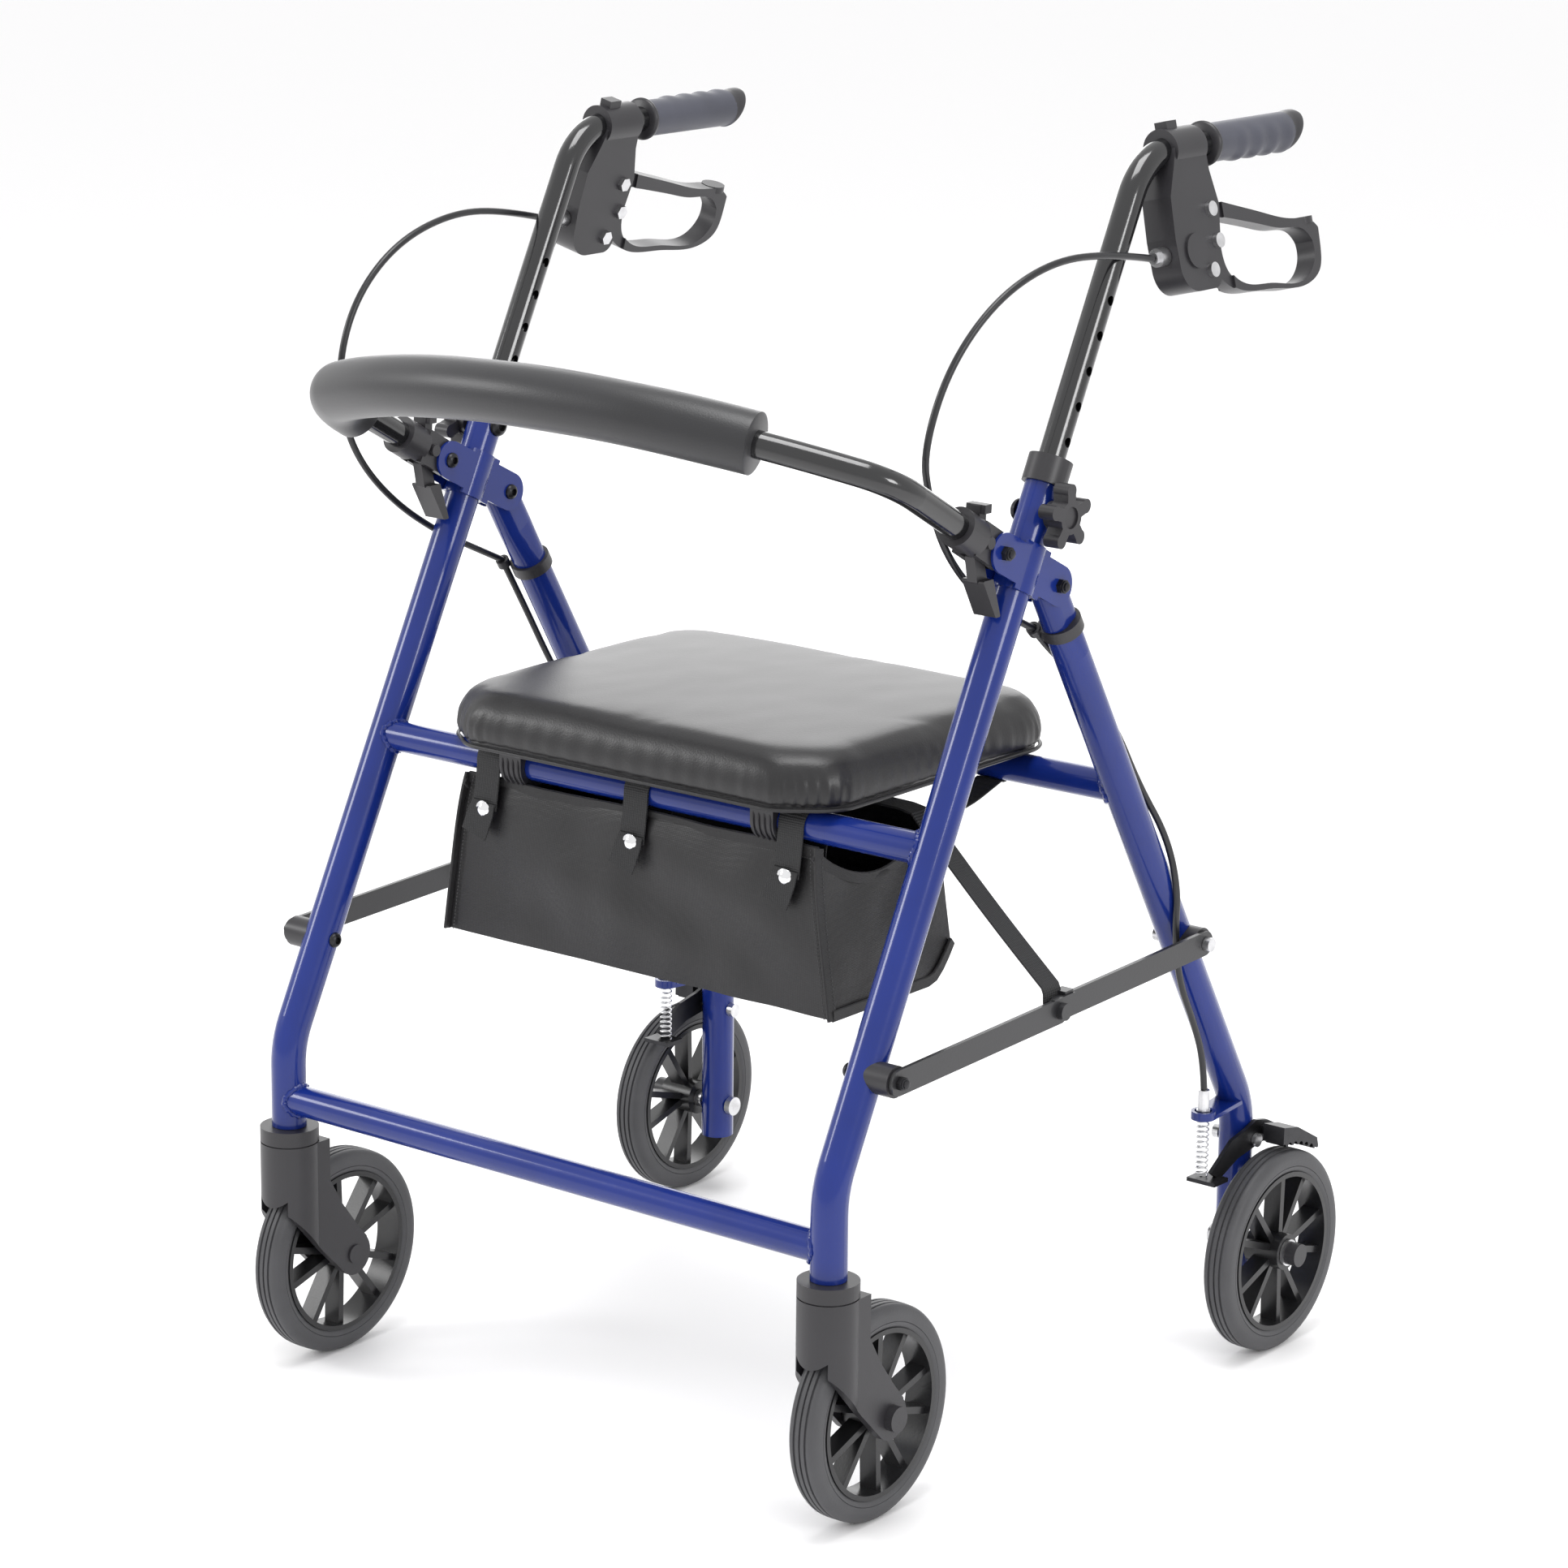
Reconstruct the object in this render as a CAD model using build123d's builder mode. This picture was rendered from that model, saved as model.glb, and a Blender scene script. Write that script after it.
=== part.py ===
from build123d import *
import os
from math import acos, asin, atan2, cos, degrees, hypot, pi, radians, sin, tan

# Rollator walker. Millimetres, +Z up, origin on the floor under the middle of the whole
# walker. The user walks towards -Y, so the casters and the backrest are at -Y, the hand
# grips point to +Y, and the user's left is +X.

os.makedirs("parts", exist_ok=True)

# ---------------------------------------------------------------- driving dimensions
wheel_radius = 76.2             # 6 inch wheels
tyre_width = 23.0
wheel_base = 445.0
front_axle_y = -wheel_base / 2
rear_axle_y = wheel_base / 2
rear_wheel_x = 281.7

leg_x = 247.5                   # both pairs of legs stand in the planes x = +-leg_x
tube_r = 12.7                   # 1 inch steel tube
tube_wall = 1.5
cross_r = 11.0                  # cross tubes
handle_r = 9.5                  # 3/4 inch telescopic handle tube and backrest bar

caster_trail = 46.5
stem_y = front_axle_y - caster_trail
stem_top_z = 184.0              # top of the caster's cap, where the leg starts
lean = 27.0                     # front leg from the vertical
front_bend_z = 246.0
front_leg_length = 508.0        # from the bend to the top of the tube

bracket_s = 435.5               # hinge bracket, measured up the leg from its bend
ear_reach = 36.0                # leg axis to either hinge bolt
bracket_height = 34.0
ear_height = 28.0
ear_inner = 10.2                # half the gap between two ears
sheet = 2.0

rear_lean = 31.0
rear_leg_foot_z = 50.0
seat_tube_z = 455.6
lower_tube_z = 204.7

clamp_s = 474.8                 # star knob and its screw
hole_pitch = 25.4               # height adjustment, 1 inch a step
left_handle_z = 899.0           # grip axis of the left handle, set one hole higher
grip_end_y = 250.0

brace_front_z = 317.4
brace_rear_z = 329.7
brace_width = 18.0
brace_thick = 3.0

bolt_r = 3.0
running = 0.1                   # radial clearance of a pin in a part that turns on it
gap = 0.3                       # clearance between bodies that only pass each other

sides = ((1, "left"), (-1, "right"))
along = (0, sin(radians(lean)), cos(radians(lean)))
rearward = (0, cos(radians(lean)), -sin(radians(lean)))


# ---------------------------------------------------------------- places on the frame
def leg_point(s, u=0.0):
    """(y, z) at s up the sloping part of a front leg, u behind its axis."""
    return (stem_y + s * along[1] + u * rearward[1], front_bend_z + s * along[2] + u * rearward[2])


def leg_plane(side, s):
    """Plane square to a front leg: local x is X, local y points behind the leg."""
    return Plane(origin=(side * leg_x, *leg_point(s)), x_dir=(1, 0, 0), z_dir=along)


def leg_side_plane(side, s):
    """Plane of the leg's side view: local x points behind the leg, local y up it."""
    return Plane(origin=(side * leg_x, *leg_point(s)), x_dir=rearward, z_dir=(1, 0, 0))


back_pivot_y, back_pivot_z = leg_point(bracket_s, -ear_reach)
fold_y, fold_z = leg_point(bracket_s, ear_reach)
down_rear = (0, sin(radians(rear_lean)), -cos(radians(rear_lean)))
rear_bend_z = fold_z - (rear_axle_y - fold_y) / tan(radians(rear_lean))


def rear_point(t):
    """(y, z) at t down the sloping part of a rear leg from the fold bolt."""
    return (fold_y + t * down_rear[1], fold_z + t * down_rear[2])


def rear_plane(side, t):
    """Plane square to a rear leg, facing down it: local x is X."""
    return Plane(origin=(side * leg_x, *rear_point(t)), x_dir=(1, 0, 0), z_dir=down_rear)


seat_front_y = stem_y + (seat_tube_z - front_bend_z) * tan(radians(lean))
seat_rear_y = fold_y + (fold_z - seat_tube_z) * tan(radians(rear_lean))
brace_front_y = stem_y + (brace_front_z - front_bend_z) * tan(radians(lean))
brace_rear_y = fold_y + (fold_z - brace_rear_z) * tan(radians(rear_lean))
brace_length = hypot(brace_rear_y - brace_front_y, brace_rear_z - brace_front_z) / 2
brace_mid_y = (brace_front_y + brace_rear_y) / 2
brace_mid_z = (brace_front_z + brace_rear_z) / 2
brace_tilt = degrees(atan2(brace_rear_z - brace_front_z, brace_rear_y - brace_front_y))


def write(piece, name):
    """Label a finished piece and write its STEP file."""
    piece.part.label = name
    export_step(piece.part, f"parts/{name}.step")


def rod_x(x0, x1, y, z, r, mode=Mode.ADD):
    """A round rod along X in the part being built."""
    with Locations(Location(((x0 + x1) / 2, y, z), (0, 90, 0))):
        Cylinder(r, abs(x1 - x0), mode=mode)


def domed_bolt(side, x_in, x_out, y, z, head_r=5.5, head=3.5, nut=5.0):
    """A bolt through x_in to x_out off the leg's plane: domed head inside, cap nut outside."""
    rod_x(side * (leg_x + x_in), side * (leg_x + x_out), y, z, bolt_r)
    rod_x(side * (leg_x + x_in - head), side * (leg_x + x_in), y, z, head_r)
    rod_x(side * (leg_x + x_out), side * (leg_x + x_out + nut), y, z, head_r - 0.4)


# ---------------------------------------------------------------- front legs
for side, hand in sides:
    x = side * leg_x
    with BuildPart() as front_leg:
        with BuildLine():
            FilletPolyline(
                (x, stem_y, stem_top_z), (x, stem_y, front_bend_z), (x, *leg_point(front_leg_length)),
                radius=70,
            )
        with BuildSketch(Plane((x, stem_y, stem_top_z))):
            Circle(tube_r)
            Circle(tube_r - tube_wall, mode=Mode.SUBTRACT)
        sweep()
        rod_x(x - 20, x + 20, *leg_point(clamp_s), bolt_r + running, mode=Mode.SUBTRACT)
        rod_x(x - 20, x + 20, brace_front_y, brace_front_z, bolt_r, mode=Mode.SUBTRACT)
    write(front_leg, f"front_leg_{hand}")


def cross_tube(y, z, cutters):
    """A cross tube between the legs, its ends coped to the leg tubes in cutters."""
    with BuildPart() as tube:
        with BuildSketch(Plane.YZ):
            with Locations((y, z)):
                Circle(cross_r)
                Circle(cross_r - tube_wall, mode=Mode.SUBTRACT)
        extrude(amount=leg_x, both=True)
        for cutter in cutters:
            with Locations(cutter):
                Cylinder(tube_r, 90, mode=Mode.SUBTRACT)
    return tube


write(
    cross_tube(stem_y, lower_tube_z, [Plane((side * leg_x, stem_y, lower_tube_z)) for side, hand in sides]),
    "front_lower_tube",
)
seat_s = (seat_tube_z - front_bend_z) / along[2]
write(
    cross_tube(seat_front_y, seat_tube_z, [leg_plane(side, seat_s) for side, hand in sides]),
    "front_seat_tube",
)

# ---------------------------------------------------------------- hinge brackets
wrap_r = tube_r + 0.05
with BuildPart() as hinge_brackets:
    for side, hand in sides:
        with BuildPart(mode=Mode.PRIVATE) as bracket:
            with BuildSketch(leg_plane(side, bracket_s - bracket_height / 2)):
                Circle(wrap_r + sheet)
                for lug in (-1, 1):
                    with Locations((lug * (ear_inner + sheet / 2), 0)):
                        Rectangle(sheet, 2 * (ear_reach + ear_height / 2))
                Circle(wrap_r, mode=Mode.SUBTRACT)
            extrude(amount=bracket_height)
            with BuildSketch(leg_side_plane(side, bracket_s)):
                SlotCenterToCenter(2 * ear_reach, ear_height)
                Rectangle(2 * (wrap_r + sheet), bracket_height)
            extrude(amount=20, both=True, mode=Mode.INTERSECT)
            for u in (-ear_reach, ear_reach):
                rod_x(side * leg_x - 20, side * leg_x + 20, *leg_point(bracket_s, u), bolt_r, mode=Mode.SUBTRACT)
        add(bracket.part)
write(hinge_brackets, "hinge_brackets")

# ---------------------------------------------------------------- collars at the leg tops
collar_r = 15.5
with BuildPart() as leg_collars:
    for side, hand in sides:
        with BuildSketch(leg_plane(side, front_leg_length - 14)):
            Circle(collar_r)
            Circle(tube_r, mode=Mode.SUBTRACT)
        extrude(amount=14)
        with BuildSketch(leg_plane(side, front_leg_length)):
            Circle(collar_r)
            Circle(handle_r + gap, mode=Mode.SUBTRACT)
        extrude(amount=5)
        with BuildSketch(leg_plane(side, front_leg_length - 24)):
            Circle(tube_r - tube_wall)
            Circle(handle_r + gap, mode=Mode.SUBTRACT)
        extrude(amount=24)
write(leg_collars, "leg_collars")

# ---------------------------------------------------------------- bolts on the front frame
spacer_length = 9.8
front_link_in = tube_r + spacer_length + brace_thick + 0.9
with BuildPart() as frame_bolts:
    for side, hand in sides:
        for u in (-ear_reach, ear_reach):
            domed_bolt(side, -(ear_inner + sheet), ear_inner + sheet, *leg_point(bracket_s, u))
        domed_bolt(
            side, -tube_r, front_link_in + brace_thick + gap, brace_front_y, brace_front_z, head=4.0, nut=5.0
        )
        clamp_y, clamp_z = leg_point(clamp_s)
        rod_x(side * (leg_x - tube_r - 4.5), side * (leg_x - tube_r), clamp_y, clamp_z, 8.0)
        rod_x(side * (leg_x - tube_r), side * (leg_x - handle_r - 2 * gap), clamp_y, clamp_z, bolt_r)
write(frame_bolts, "frame_bolts")

# ---------------------------------------------------------------- brace spacers, front
spacer_r = 11.0
with BuildPart() as brace_spacers_front:
    for side, hand in sides:
        outer = side * (leg_x + front_link_in - gap)
        rod_x(side * leg_x, outer, brace_front_y, brace_front_z, spacer_r)
        with Locations(leg_plane(side, (brace_front_z - front_bend_z) / along[2])):
            Cylinder(tube_r, 60, mode=Mode.SUBTRACT)
        rod_x(side * leg_x, outer, brace_front_y, brace_front_z, bolt_r, mode=Mode.SUBTRACT)
write(brace_spacers_front, "brace_spacers_front")

# ---------------------------------------------------------------- rear legs
pinch_half = ear_inner - gap
for side, hand in sides:
    x = side * leg_x
    with BuildPart() as rear_leg:
        with BuildSketch(rear_plane(side, -16)):
            SlotOverall(28, 2 * pinch_half, rotation=90)
        extrude(amount=50)
        with BuildSketch(Plane(origin=(x, fold_y, fold_z), x_dir=down_rear, z_dir=(1, 0, 0))):
            Circle(14)
            with Locations((25, 0)):
                Rectangle(50, 28)
        extrude(amount=20, both=True, mode=Mode.INTERSECT)
        with BuildSketch(rear_plane(side, 34)):
            SlotOverall(28, 2 * pinch_half, rotation=90)
        with BuildSketch(rear_plane(side, 62)):
            Circle(tube_r)
        loft()
        with BuildLine():
            FilletPolyline(
                (x, *rear_point(62)), (x, rear_axle_y, rear_bend_z), (x, rear_axle_y, rear_leg_foot_z),
                radius=75,
            )
        with BuildSketch(rear_plane(side, 62)):
            Circle(tube_r)
            Circle(tube_r - tube_wall, mode=Mode.SUBTRACT)
        sweep()
        rod_x(x - 20, x + 20, fold_y, fold_z, bolt_r + running, mode=Mode.SUBTRACT)
        rod_x(x - 20, x + 20, brace_rear_y, brace_rear_z, bolt_r, mode=Mode.SUBTRACT)
        rod_x(x - 20, x + 20, rear_axle_y, wheel_radius, 4.0, mode=Mode.SUBTRACT)
        rod_x(x - 20, x + 20, rear_axle_y, 157.0, bolt_r, mode=Mode.SUBTRACT)
    write(rear_leg, f"rear_leg_{hand}")

seat_t = (fold_z - seat_tube_z) / cos(radians(rear_lean))
write(
    cross_tube(seat_rear_y, seat_tube_z, [rear_plane(side, seat_t) for side, hand in sides]),
    "rear_seat_tube",
)

# ---------------------------------------------------------------- rear brake: tab, arm, spring
pull_x = 255.0                  # cable, spring and tab stand in front of the rear leg
pull_y = 166.0
tab_z = 186.0
tab_thick = 3.0
spring_foot_z = 141.0
brake_pivot_z = 157.0
with BuildPart() as brake_cable_tabs:
    for side, hand in sides:
        with BuildSketch(Plane.XY.offset(tab_z)):
            with BuildLine():
                Polyline(
                    (side * (pull_x - 9), pull_y), (side * (pull_x + 9), pull_y),
                    (side * (leg_x + 11), rear_axle_y - 6), (side * (leg_x - 11), rear_axle_y - 6), close=True,
                )
            make_face()
            with Locations((side * pull_x, pull_y)):
                Circle(9)
                Circle(3.2, mode=Mode.SUBTRACT)
        extrude(amount=tab_thick)
        with BuildSketch(Plane.XY.offset(tab_z + tab_thick)):
            with Locations((side * pull_x, pull_y)):
                Circle(9)
                Circle(6.5, mode=Mode.SUBTRACT)
        extrude(amount=3)
        with BuildLine():
            FilletPolyline(
                (side * leg_x, *rear_point(300)), (side * leg_x, rear_axle_y, rear_bend_z),
                (side * leg_x, rear_axle_y, 100), radius=75,
            )
        with BuildSketch(rear_plane(side, 300)):
            Circle(tube_r)
        sweep(mode=Mode.SUBTRACT)
write(brake_cable_tabs, "brake_cable_tabs")

with BuildPart() as cable_ferrules:
    for side, hand in sides:
        with BuildSketch(Plane.XY.offset(tab_z + tab_thick)):
            with Locations((side * pull_x, pull_y)):
                RegularPolygon(5.6, 6)
                Circle(1.0, mode=Mode.SUBTRACT)
        extrude(amount=4)
        with BuildSketch(Plane.XY.offset(tab_z + tab_thick + 4)):
            with Locations((side * pull_x, pull_y)):
                Circle(4.2)
                Circle(1.0, mode=Mode.SUBTRACT)
        extrude(amount=15)
write(cable_ferrules, "cable_ferrules")

spring_r = 4.3
spring_wire = 0.6
spring_turns = 9
spring_height = tab_z - spring_foot_z - 2 * gap - 2 * spring_wire
with BuildPart() as brake_springs:
    for side, hand in sides:
        start = Vector(side * pull_x, pull_y, spring_foot_z + gap + spring_wire)
        with BuildLine() as coil:
            Helix(spring_height / spring_turns, spring_height, spring_r, center=start)
        with BuildSketch(Plane(origin=coil.line @ 0, z_dir=coil.line % 0)):
            Circle(spring_wire)
        sweep(is_frenet=True)
write(brake_springs, "brake_springs")

arm_x0 = leg_x + tube_r + 1.2
arm_thick = 3.0
shoe_width = 18.0
brake_gap = 4.0                 # shoe off the tyre when the brake is free
for side, hand in sides:
    with BuildPart() as brake_arm:
        arm_side = Plane(origin=(side * (arm_x0 + arm_thick / 2), 0, 0), x_dir=(0, 1, 0), z_dir=(1, 0, 0))
        with BuildSketch(arm_side):
            with BuildLine():
                Polyline(
                    (165, 146), (176, 138), (200, 148), (226, 152), (250, 155), (250, 163),
                    (238, 169), (224, 172), (212, 168), (192, 164), close=True,
                )
            make_face()
        extrude(amount=arm_thick / 2, both=True)
        with BuildSketch(Plane.XY.offset(spring_foot_z - 3)):
            with Locations((side * (pull_x + arm_x0 + arm_thick - 1) / 2, pull_y + 2)):
                Rectangle(arm_x0 + arm_thick - pull_x + 15, 18)
            with Locations((side * pull_x, pull_y)):
                Circle(1.2, mode=Mode.SUBTRACT)
        extrude(amount=3)
        with BuildSketch(Plane(origin=(side * rear_wheel_x, 0, 0), x_dir=(0, 1, 0), z_dir=(1, 0, 0))):
            with BuildLine():
                Polyline((220, 140), (221, 172), (240, 168), (267, 153), (269, 146), (262, 138), close=True)
            make_face()
            with Locations((rear_axle_y, wheel_radius)):
                Circle(wheel_radius + brake_gap, mode=Mode.SUBTRACT)
                with PolarLocations(wheel_radius + brake_gap, 8, start_angle=52, angular_range=44):
                    Circle(2.5, mode=Mode.SUBTRACT)
        extrude(amount=shoe_width / 2, both=True)
        with BuildSketch(Plane.XY.offset(160)):
            with Locations((side * (arm_x0 + rear_wheel_x) / 2, 235)):
                Rectangle(rear_wheel_x - arm_x0, 10)
        extrude(amount=6)
        rod_x(side * 240, side * 270, rear_axle_y, brake_pivot_z, bolt_r + running, mode=Mode.SUBTRACT)
    write(brake_arm, f"brake_arm_{hand}")

# ---------------------------------------------------------------- rear axles, bolts and spacers
rear_hub_in = rear_wheel_x - 15.0
rear_hub_out = rear_wheel_x + 14.0
rear_link_in = tube_r + spacer_length
with BuildPart() as rear_axles_and_bolts:
    for side, hand in sides:
        domed_bolt(side, -tube_r, rear_link_in + brace_thick + 2 * gap, brace_rear_y, brace_rear_z, head=4.0)
        domed_bolt(side, -tube_r, arm_x0 - leg_x + arm_thick + gap, rear_axle_y, brake_pivot_z, head=5.0, nut=3.0)
        rod_x(side * (leg_x - tube_r - 5), side * (leg_x - tube_r), rear_axle_y, wheel_radius, 7.5)
        rod_x(side * (leg_x - tube_r), side * (rear_hub_out + 8), rear_axle_y, wheel_radius, 4.0)
        rod_x(side * (leg_x + tube_r), side * (rear_hub_in - gap), rear_axle_y, wheel_radius, 7.0)
        rod_x(side * (rear_hub_out + gap), side * (rear_hub_out + 2.3), rear_axle_y, wheel_radius, 10.0)
write(rear_axles_and_bolts, "rear_axles_and_bolts")

with BuildPart() as rear_axle_caps:
    for side, hand in sides:
        rod_x(side * (rear_hub_out + 2.3), side * (rear_hub_out + 12), rear_axle_y, wheel_radius, 8.6)
        rod_x(side * (rear_hub_out + 2.3), side * (rear_hub_out + 8), rear_axle_y, wheel_radius, 4.0, mode=Mode.SUBTRACT)
write(rear_axle_caps, "rear_axle_caps")

with BuildPart() as brace_spacers_rear:
    for side, hand in sides:
        outer = side * (leg_x + rear_link_in)
        rod_x(side * leg_x, outer, brace_rear_y, brace_rear_z, spacer_r)
        with Locations(rear_plane(side, (fold_z - brace_rear_z) / cos(radians(rear_lean)))):
            Cylinder(tube_r, 60, mode=Mode.SUBTRACT)
        rod_x(side * leg_x, outer, brace_rear_y, brace_rear_z, bolt_r, mode=Mode.SUBTRACT)
write(brace_spacers_rear, "brace_spacers_rear")

# ---------------------------------------------------------------- folding side braces
rear_link_x = leg_x + rear_link_in + gap
front_link_x = leg_x + front_link_in
lock_tab = 24.0
for side, hand in sides:
    front_link_plane = Plane(
        origin=(side * (front_link_x + brace_thick / 2), brace_front_y, brace_front_z),
        x_dir=(0, cos(radians(brace_tilt)), sin(radians(brace_tilt))), z_dir=(1, 0, 0),
    )
    with BuildPart() as brace_front:
        with BuildSketch(front_link_plane):
            with Locations((brace_length / 2, 0)):
                SlotCenterToCenter(brace_length, brace_width)
            with Locations((brace_length + 4, brace_width / 2 - 2)):
                Rectangle(lock_tab, 5)
            Circle(bolt_r + running, mode=Mode.SUBTRACT)
        extrude(amount=brace_thick / 2, both=True)
        with BuildSketch(front_link_plane):
            with Locations((brace_length + 11.25, brace_width / 2 + 1.5)):
                Rectangle(9.5, 2.4)
        extrude(amount=-side * (brace_thick / 2 + 8))
        rod_x(
            side * (front_link_x + brace_thick), side * (front_link_x + brace_thick + 4.5),
            brace_mid_y, brace_mid_z, 6.0,
        )
    write(brace_front, f"brace_front_{hand}")

    rear_link_plane = Plane(
        origin=(side * (rear_link_x + brace_thick / 2), brace_rear_y, brace_rear_z),
        x_dir=(0, -cos(radians(brace_tilt)), -sin(radians(brace_tilt))), z_dir=(1, 0, 0),
    )
    with BuildPart() as brace_rear:
        with BuildSketch(rear_link_plane):
            with Locations((brace_length / 2, 0)):
                SlotCenterToCenter(brace_length, brace_width)
            Circle(bolt_r + running, mode=Mode.SUBTRACT)
        extrude(amount=brace_thick / 2, both=True)
        rod_x(side * (rear_link_x - 4), side * rear_link_x, brace_mid_y, brace_mid_z, 5.5)
    write(brace_rear, f"brace_rear_{hand}")

# ---------------------------------------------------------------- fold strap under the seat
strap_width = 20.0
strap_thick = 1.4
strap_top_z = 447.0
strap_end_x = rear_link_x - 3.0
strap_end_z = brace_mid_z + brace_width / 2 + 4.5
with BuildPart() as fold_strap:
    with BuildSketch(Plane.XZ.offset(-(brace_mid_y + strap_width / 2))):
        with BuildLine() as strap_line:
            Polyline(
                (-strap_end_x, strap_end_z), (-150, strap_top_z), (150, strap_top_z), (strap_end_x, strap_end_z)
            )
        trace(line_width=strap_thick)
    extrude(amount=strap_width)
write(fold_strap, "fold_strap")

# ---------------------------------------------------------------- caster forks
fork_r = 21.3
fork_half = 19.5
slot_half = 13.3
slot_r = 84.0
for side, hand in sides:
    x = side * leg_x
    fork_side = Plane(origin=(x, 0, 0), x_dir=(0, 1, 0), z_dir=(1, 0, 0))
    with BuildPart() as caster_fork:
        with BuildSketch(fork_side):
            with BuildLine():
                Polyline(
                    (stem_y - 25, 172), (stem_y - 25, 129), (-283, 118), (-256, 87.5), (-234.5, 65.6),
                    (-209.5, 86.5), (-221, 100), (-235, 118.6), (-247.5, 140), (-247.5, 172), close=True,
                )
            make_face()
            with Locations((front_axle_y, wheel_radius)):
                Circle(16)
        extrude(amount=24, both=True)
        with BuildSketch(Plane.XY.offset(50)):
            with Locations((x, stem_y)):
                Circle(fork_r)
            with Locations((x, stem_y + 40)):
                Rectangle(2 * fork_half, 80)
        extrude(amount=130, mode=Mode.INTERSECT)
        with BuildSketch(Plane.XY.offset(170)):
            with Locations((x, stem_y)):
                Circle(fork_r - 1)
        extrude(amount=3)
        with BuildSketch(Plane.XY.offset(173)):
            with Locations((x, stem_y)):
                Circle(fork_r)
        extrude(amount=stem_top_z - gap - 173)
        with BuildSketch(Plane.XY.offset(stem_top_z - 3)):
            with Locations((x, stem_y)):
                Circle(8)
        extrude(amount=40)
        rod_x(x - slot_half, x + slot_half, front_axle_y, wheel_radius, slot_r, mode=Mode.SUBTRACT)
        rod_x(x - side * fork_half, x + side * (fork_half + 2), front_axle_y, wheel_radius, 4.0)
        rod_x(x - side * (fork_half + 1.5), x - side * fork_half, front_axle_y, wheel_radius, 7.0)
        rod_x(x + side * fork_half, x + side * (fork_half + 6.5), front_axle_y, wheel_radius, 9.0)
    write(caster_fork, f"caster_fork_{hand}")

# ---------------------------------------------------------------- wheels
rim_r = 60.0
rim_open_r = 56.4
rim_half = 11.0
spoke_pairs = 5
spoke_spread = 15.0
tread_groove = 1.2


def tyre(x, y):
    """Solid tyre with three grooves round the tread."""
    with BuildPart() as ring:
        with BuildSketch(Plane.XY):
            with BuildLine():
                Polyline(
                    (rim_r, -10), (66, -tyre_width / 2), (72, -tyre_width / 2), (wheel_radius, -8),
                    (wheel_radius, 8), (72, tyre_width / 2), (66, tyre_width / 2), (rim_r, 10), close=True,
                )
            make_face()
            for groove in (-4.5, 0, 4.5):
                with Locations((wheel_radius, groove)):
                    Rectangle(2 * tread_groove, 1.4, mode=Mode.SUBTRACT)
        revolve(axis=Axis.Y)
    return Location((x, y, wheel_radius), (0, 0, 90)) * ring.part


def rim(x, y, hub_in, hub_out, side):
    """Rim, paired spokes and hub of one wheel; hub_in and hub_out are its half lengths."""
    with BuildPart() as wheel:
        with BuildSketch(Plane.YZ):
            Circle(rim_r)
            Circle(rim_open_r, mode=Mode.SUBTRACT)
        extrude(amount=rim_half, both=True)
        with BuildSketch(Plane.YZ):
            for k in range(spoke_pairs):
                for lean_way in (-1, 1):
                    turn = radians(360 / spoke_pairs * k + lean_way * spoke_spread)
                    start = radians(360 / spoke_pairs * k + lean_way * 10)
                    with BuildLine():
                        Line(
                            (10 * cos(start), 10 * sin(start)),
                            ((rim_open_r + 1) * cos(turn), (rim_open_r + 1) * sin(turn)),
                        )
                    trace(line_width=5)
        extrude(amount=7, both=True)
        with BuildSketch(Plane.YZ.offset(-hub_in)):
            Circle(13.5)
        extrude(amount=hub_in + hub_out)
        with BuildSketch(Plane.YZ.offset(-hub_in)):
            Circle(4.1)
        extrude(amount=hub_in + hub_out, mode=Mode.SUBTRACT)
    return Location((x, y, wheel_radius)) * Location((0, 0, 0), (0, 0, 90 - 90 * side)) * wheel.part


for side, hand in sides:
    with BuildPart() as tyre_front:
        add(tyre(side * leg_x, front_axle_y))
    write(tyre_front, f"tyre_front_{hand}")
    with BuildPart() as rim_front:
        add(rim(side * leg_x, front_axle_y, 12.9, 12.9, side))
    write(rim_front, f"rim_front_{hand}")
    with BuildPart() as tyre_rear:
        add(tyre(side * rear_wheel_x, rear_axle_y))
    write(tyre_rear, f"tyre_rear_{hand}")
    with BuildPart() as rim_rear:
        add(rim(side * rear_wheel_x, rear_axle_y, 15.0, 14.0, side))
    write(rim_rear, f"rim_rear_{hand}")

# ---------------------------------------------------------------- height knobs
knob_r = 23.0
knob_in = leg_x + tube_r + gap
for side, hand in sides:
    knob_y, knob_z = leg_point(clamp_s)
    with BuildPart() as star_knob:
        with BuildSketch(Plane(origin=(side * (knob_in + 5), knob_y, knob_z), x_dir=(0, 1, 0), z_dir=(side, 0, 0))):
            Circle(11.5)
            with PolarLocations(10, 5, start_angle=18):
                Rectangle(17, 9)
            with PolarLocations(18, 5, start_angle=18):
                Circle(5)
        extrude(amount=12)
        with BuildSketch(Plane(origin=(side * (knob_in + 17), knob_y, knob_z), x_dir=(0, 1, 0), z_dir=(side, 0, 0))):
            Circle(7.5)
        extrude(amount=-1.5, mode=Mode.SUBTRACT)
        rod_x(side * knob_in, side * (knob_in + 5), knob_y, knob_z, 9.5)
        rod_x(side * (leg_x + handle_r + 2 * gap), side * (knob_in + 6), knob_y, knob_z, bolt_r)
    write(star_knob, f"star_knob_{hand}")

# ---------------------------------------------------------------- handles, grips and brake levers
housing_tilt = 14.0
housing_half = 12.0
slot_lever = 6.0
lever_half = 5.5
loop_half = 7.5                 # the finger loop is wider than the part in the housing
grip_start_y = 133.5
handle_bend_r = 50.0
handle_low_s = 340.0
bolts = ((112.5, -44.8), (114.9, -67), (102.9, -86))
adjuster_w = 71.0


def handle_shift(side):
    """Distance along the leg by which a handle stands above or below the left one."""
    return 0 if side > 0 else -hole_pitch


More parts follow.
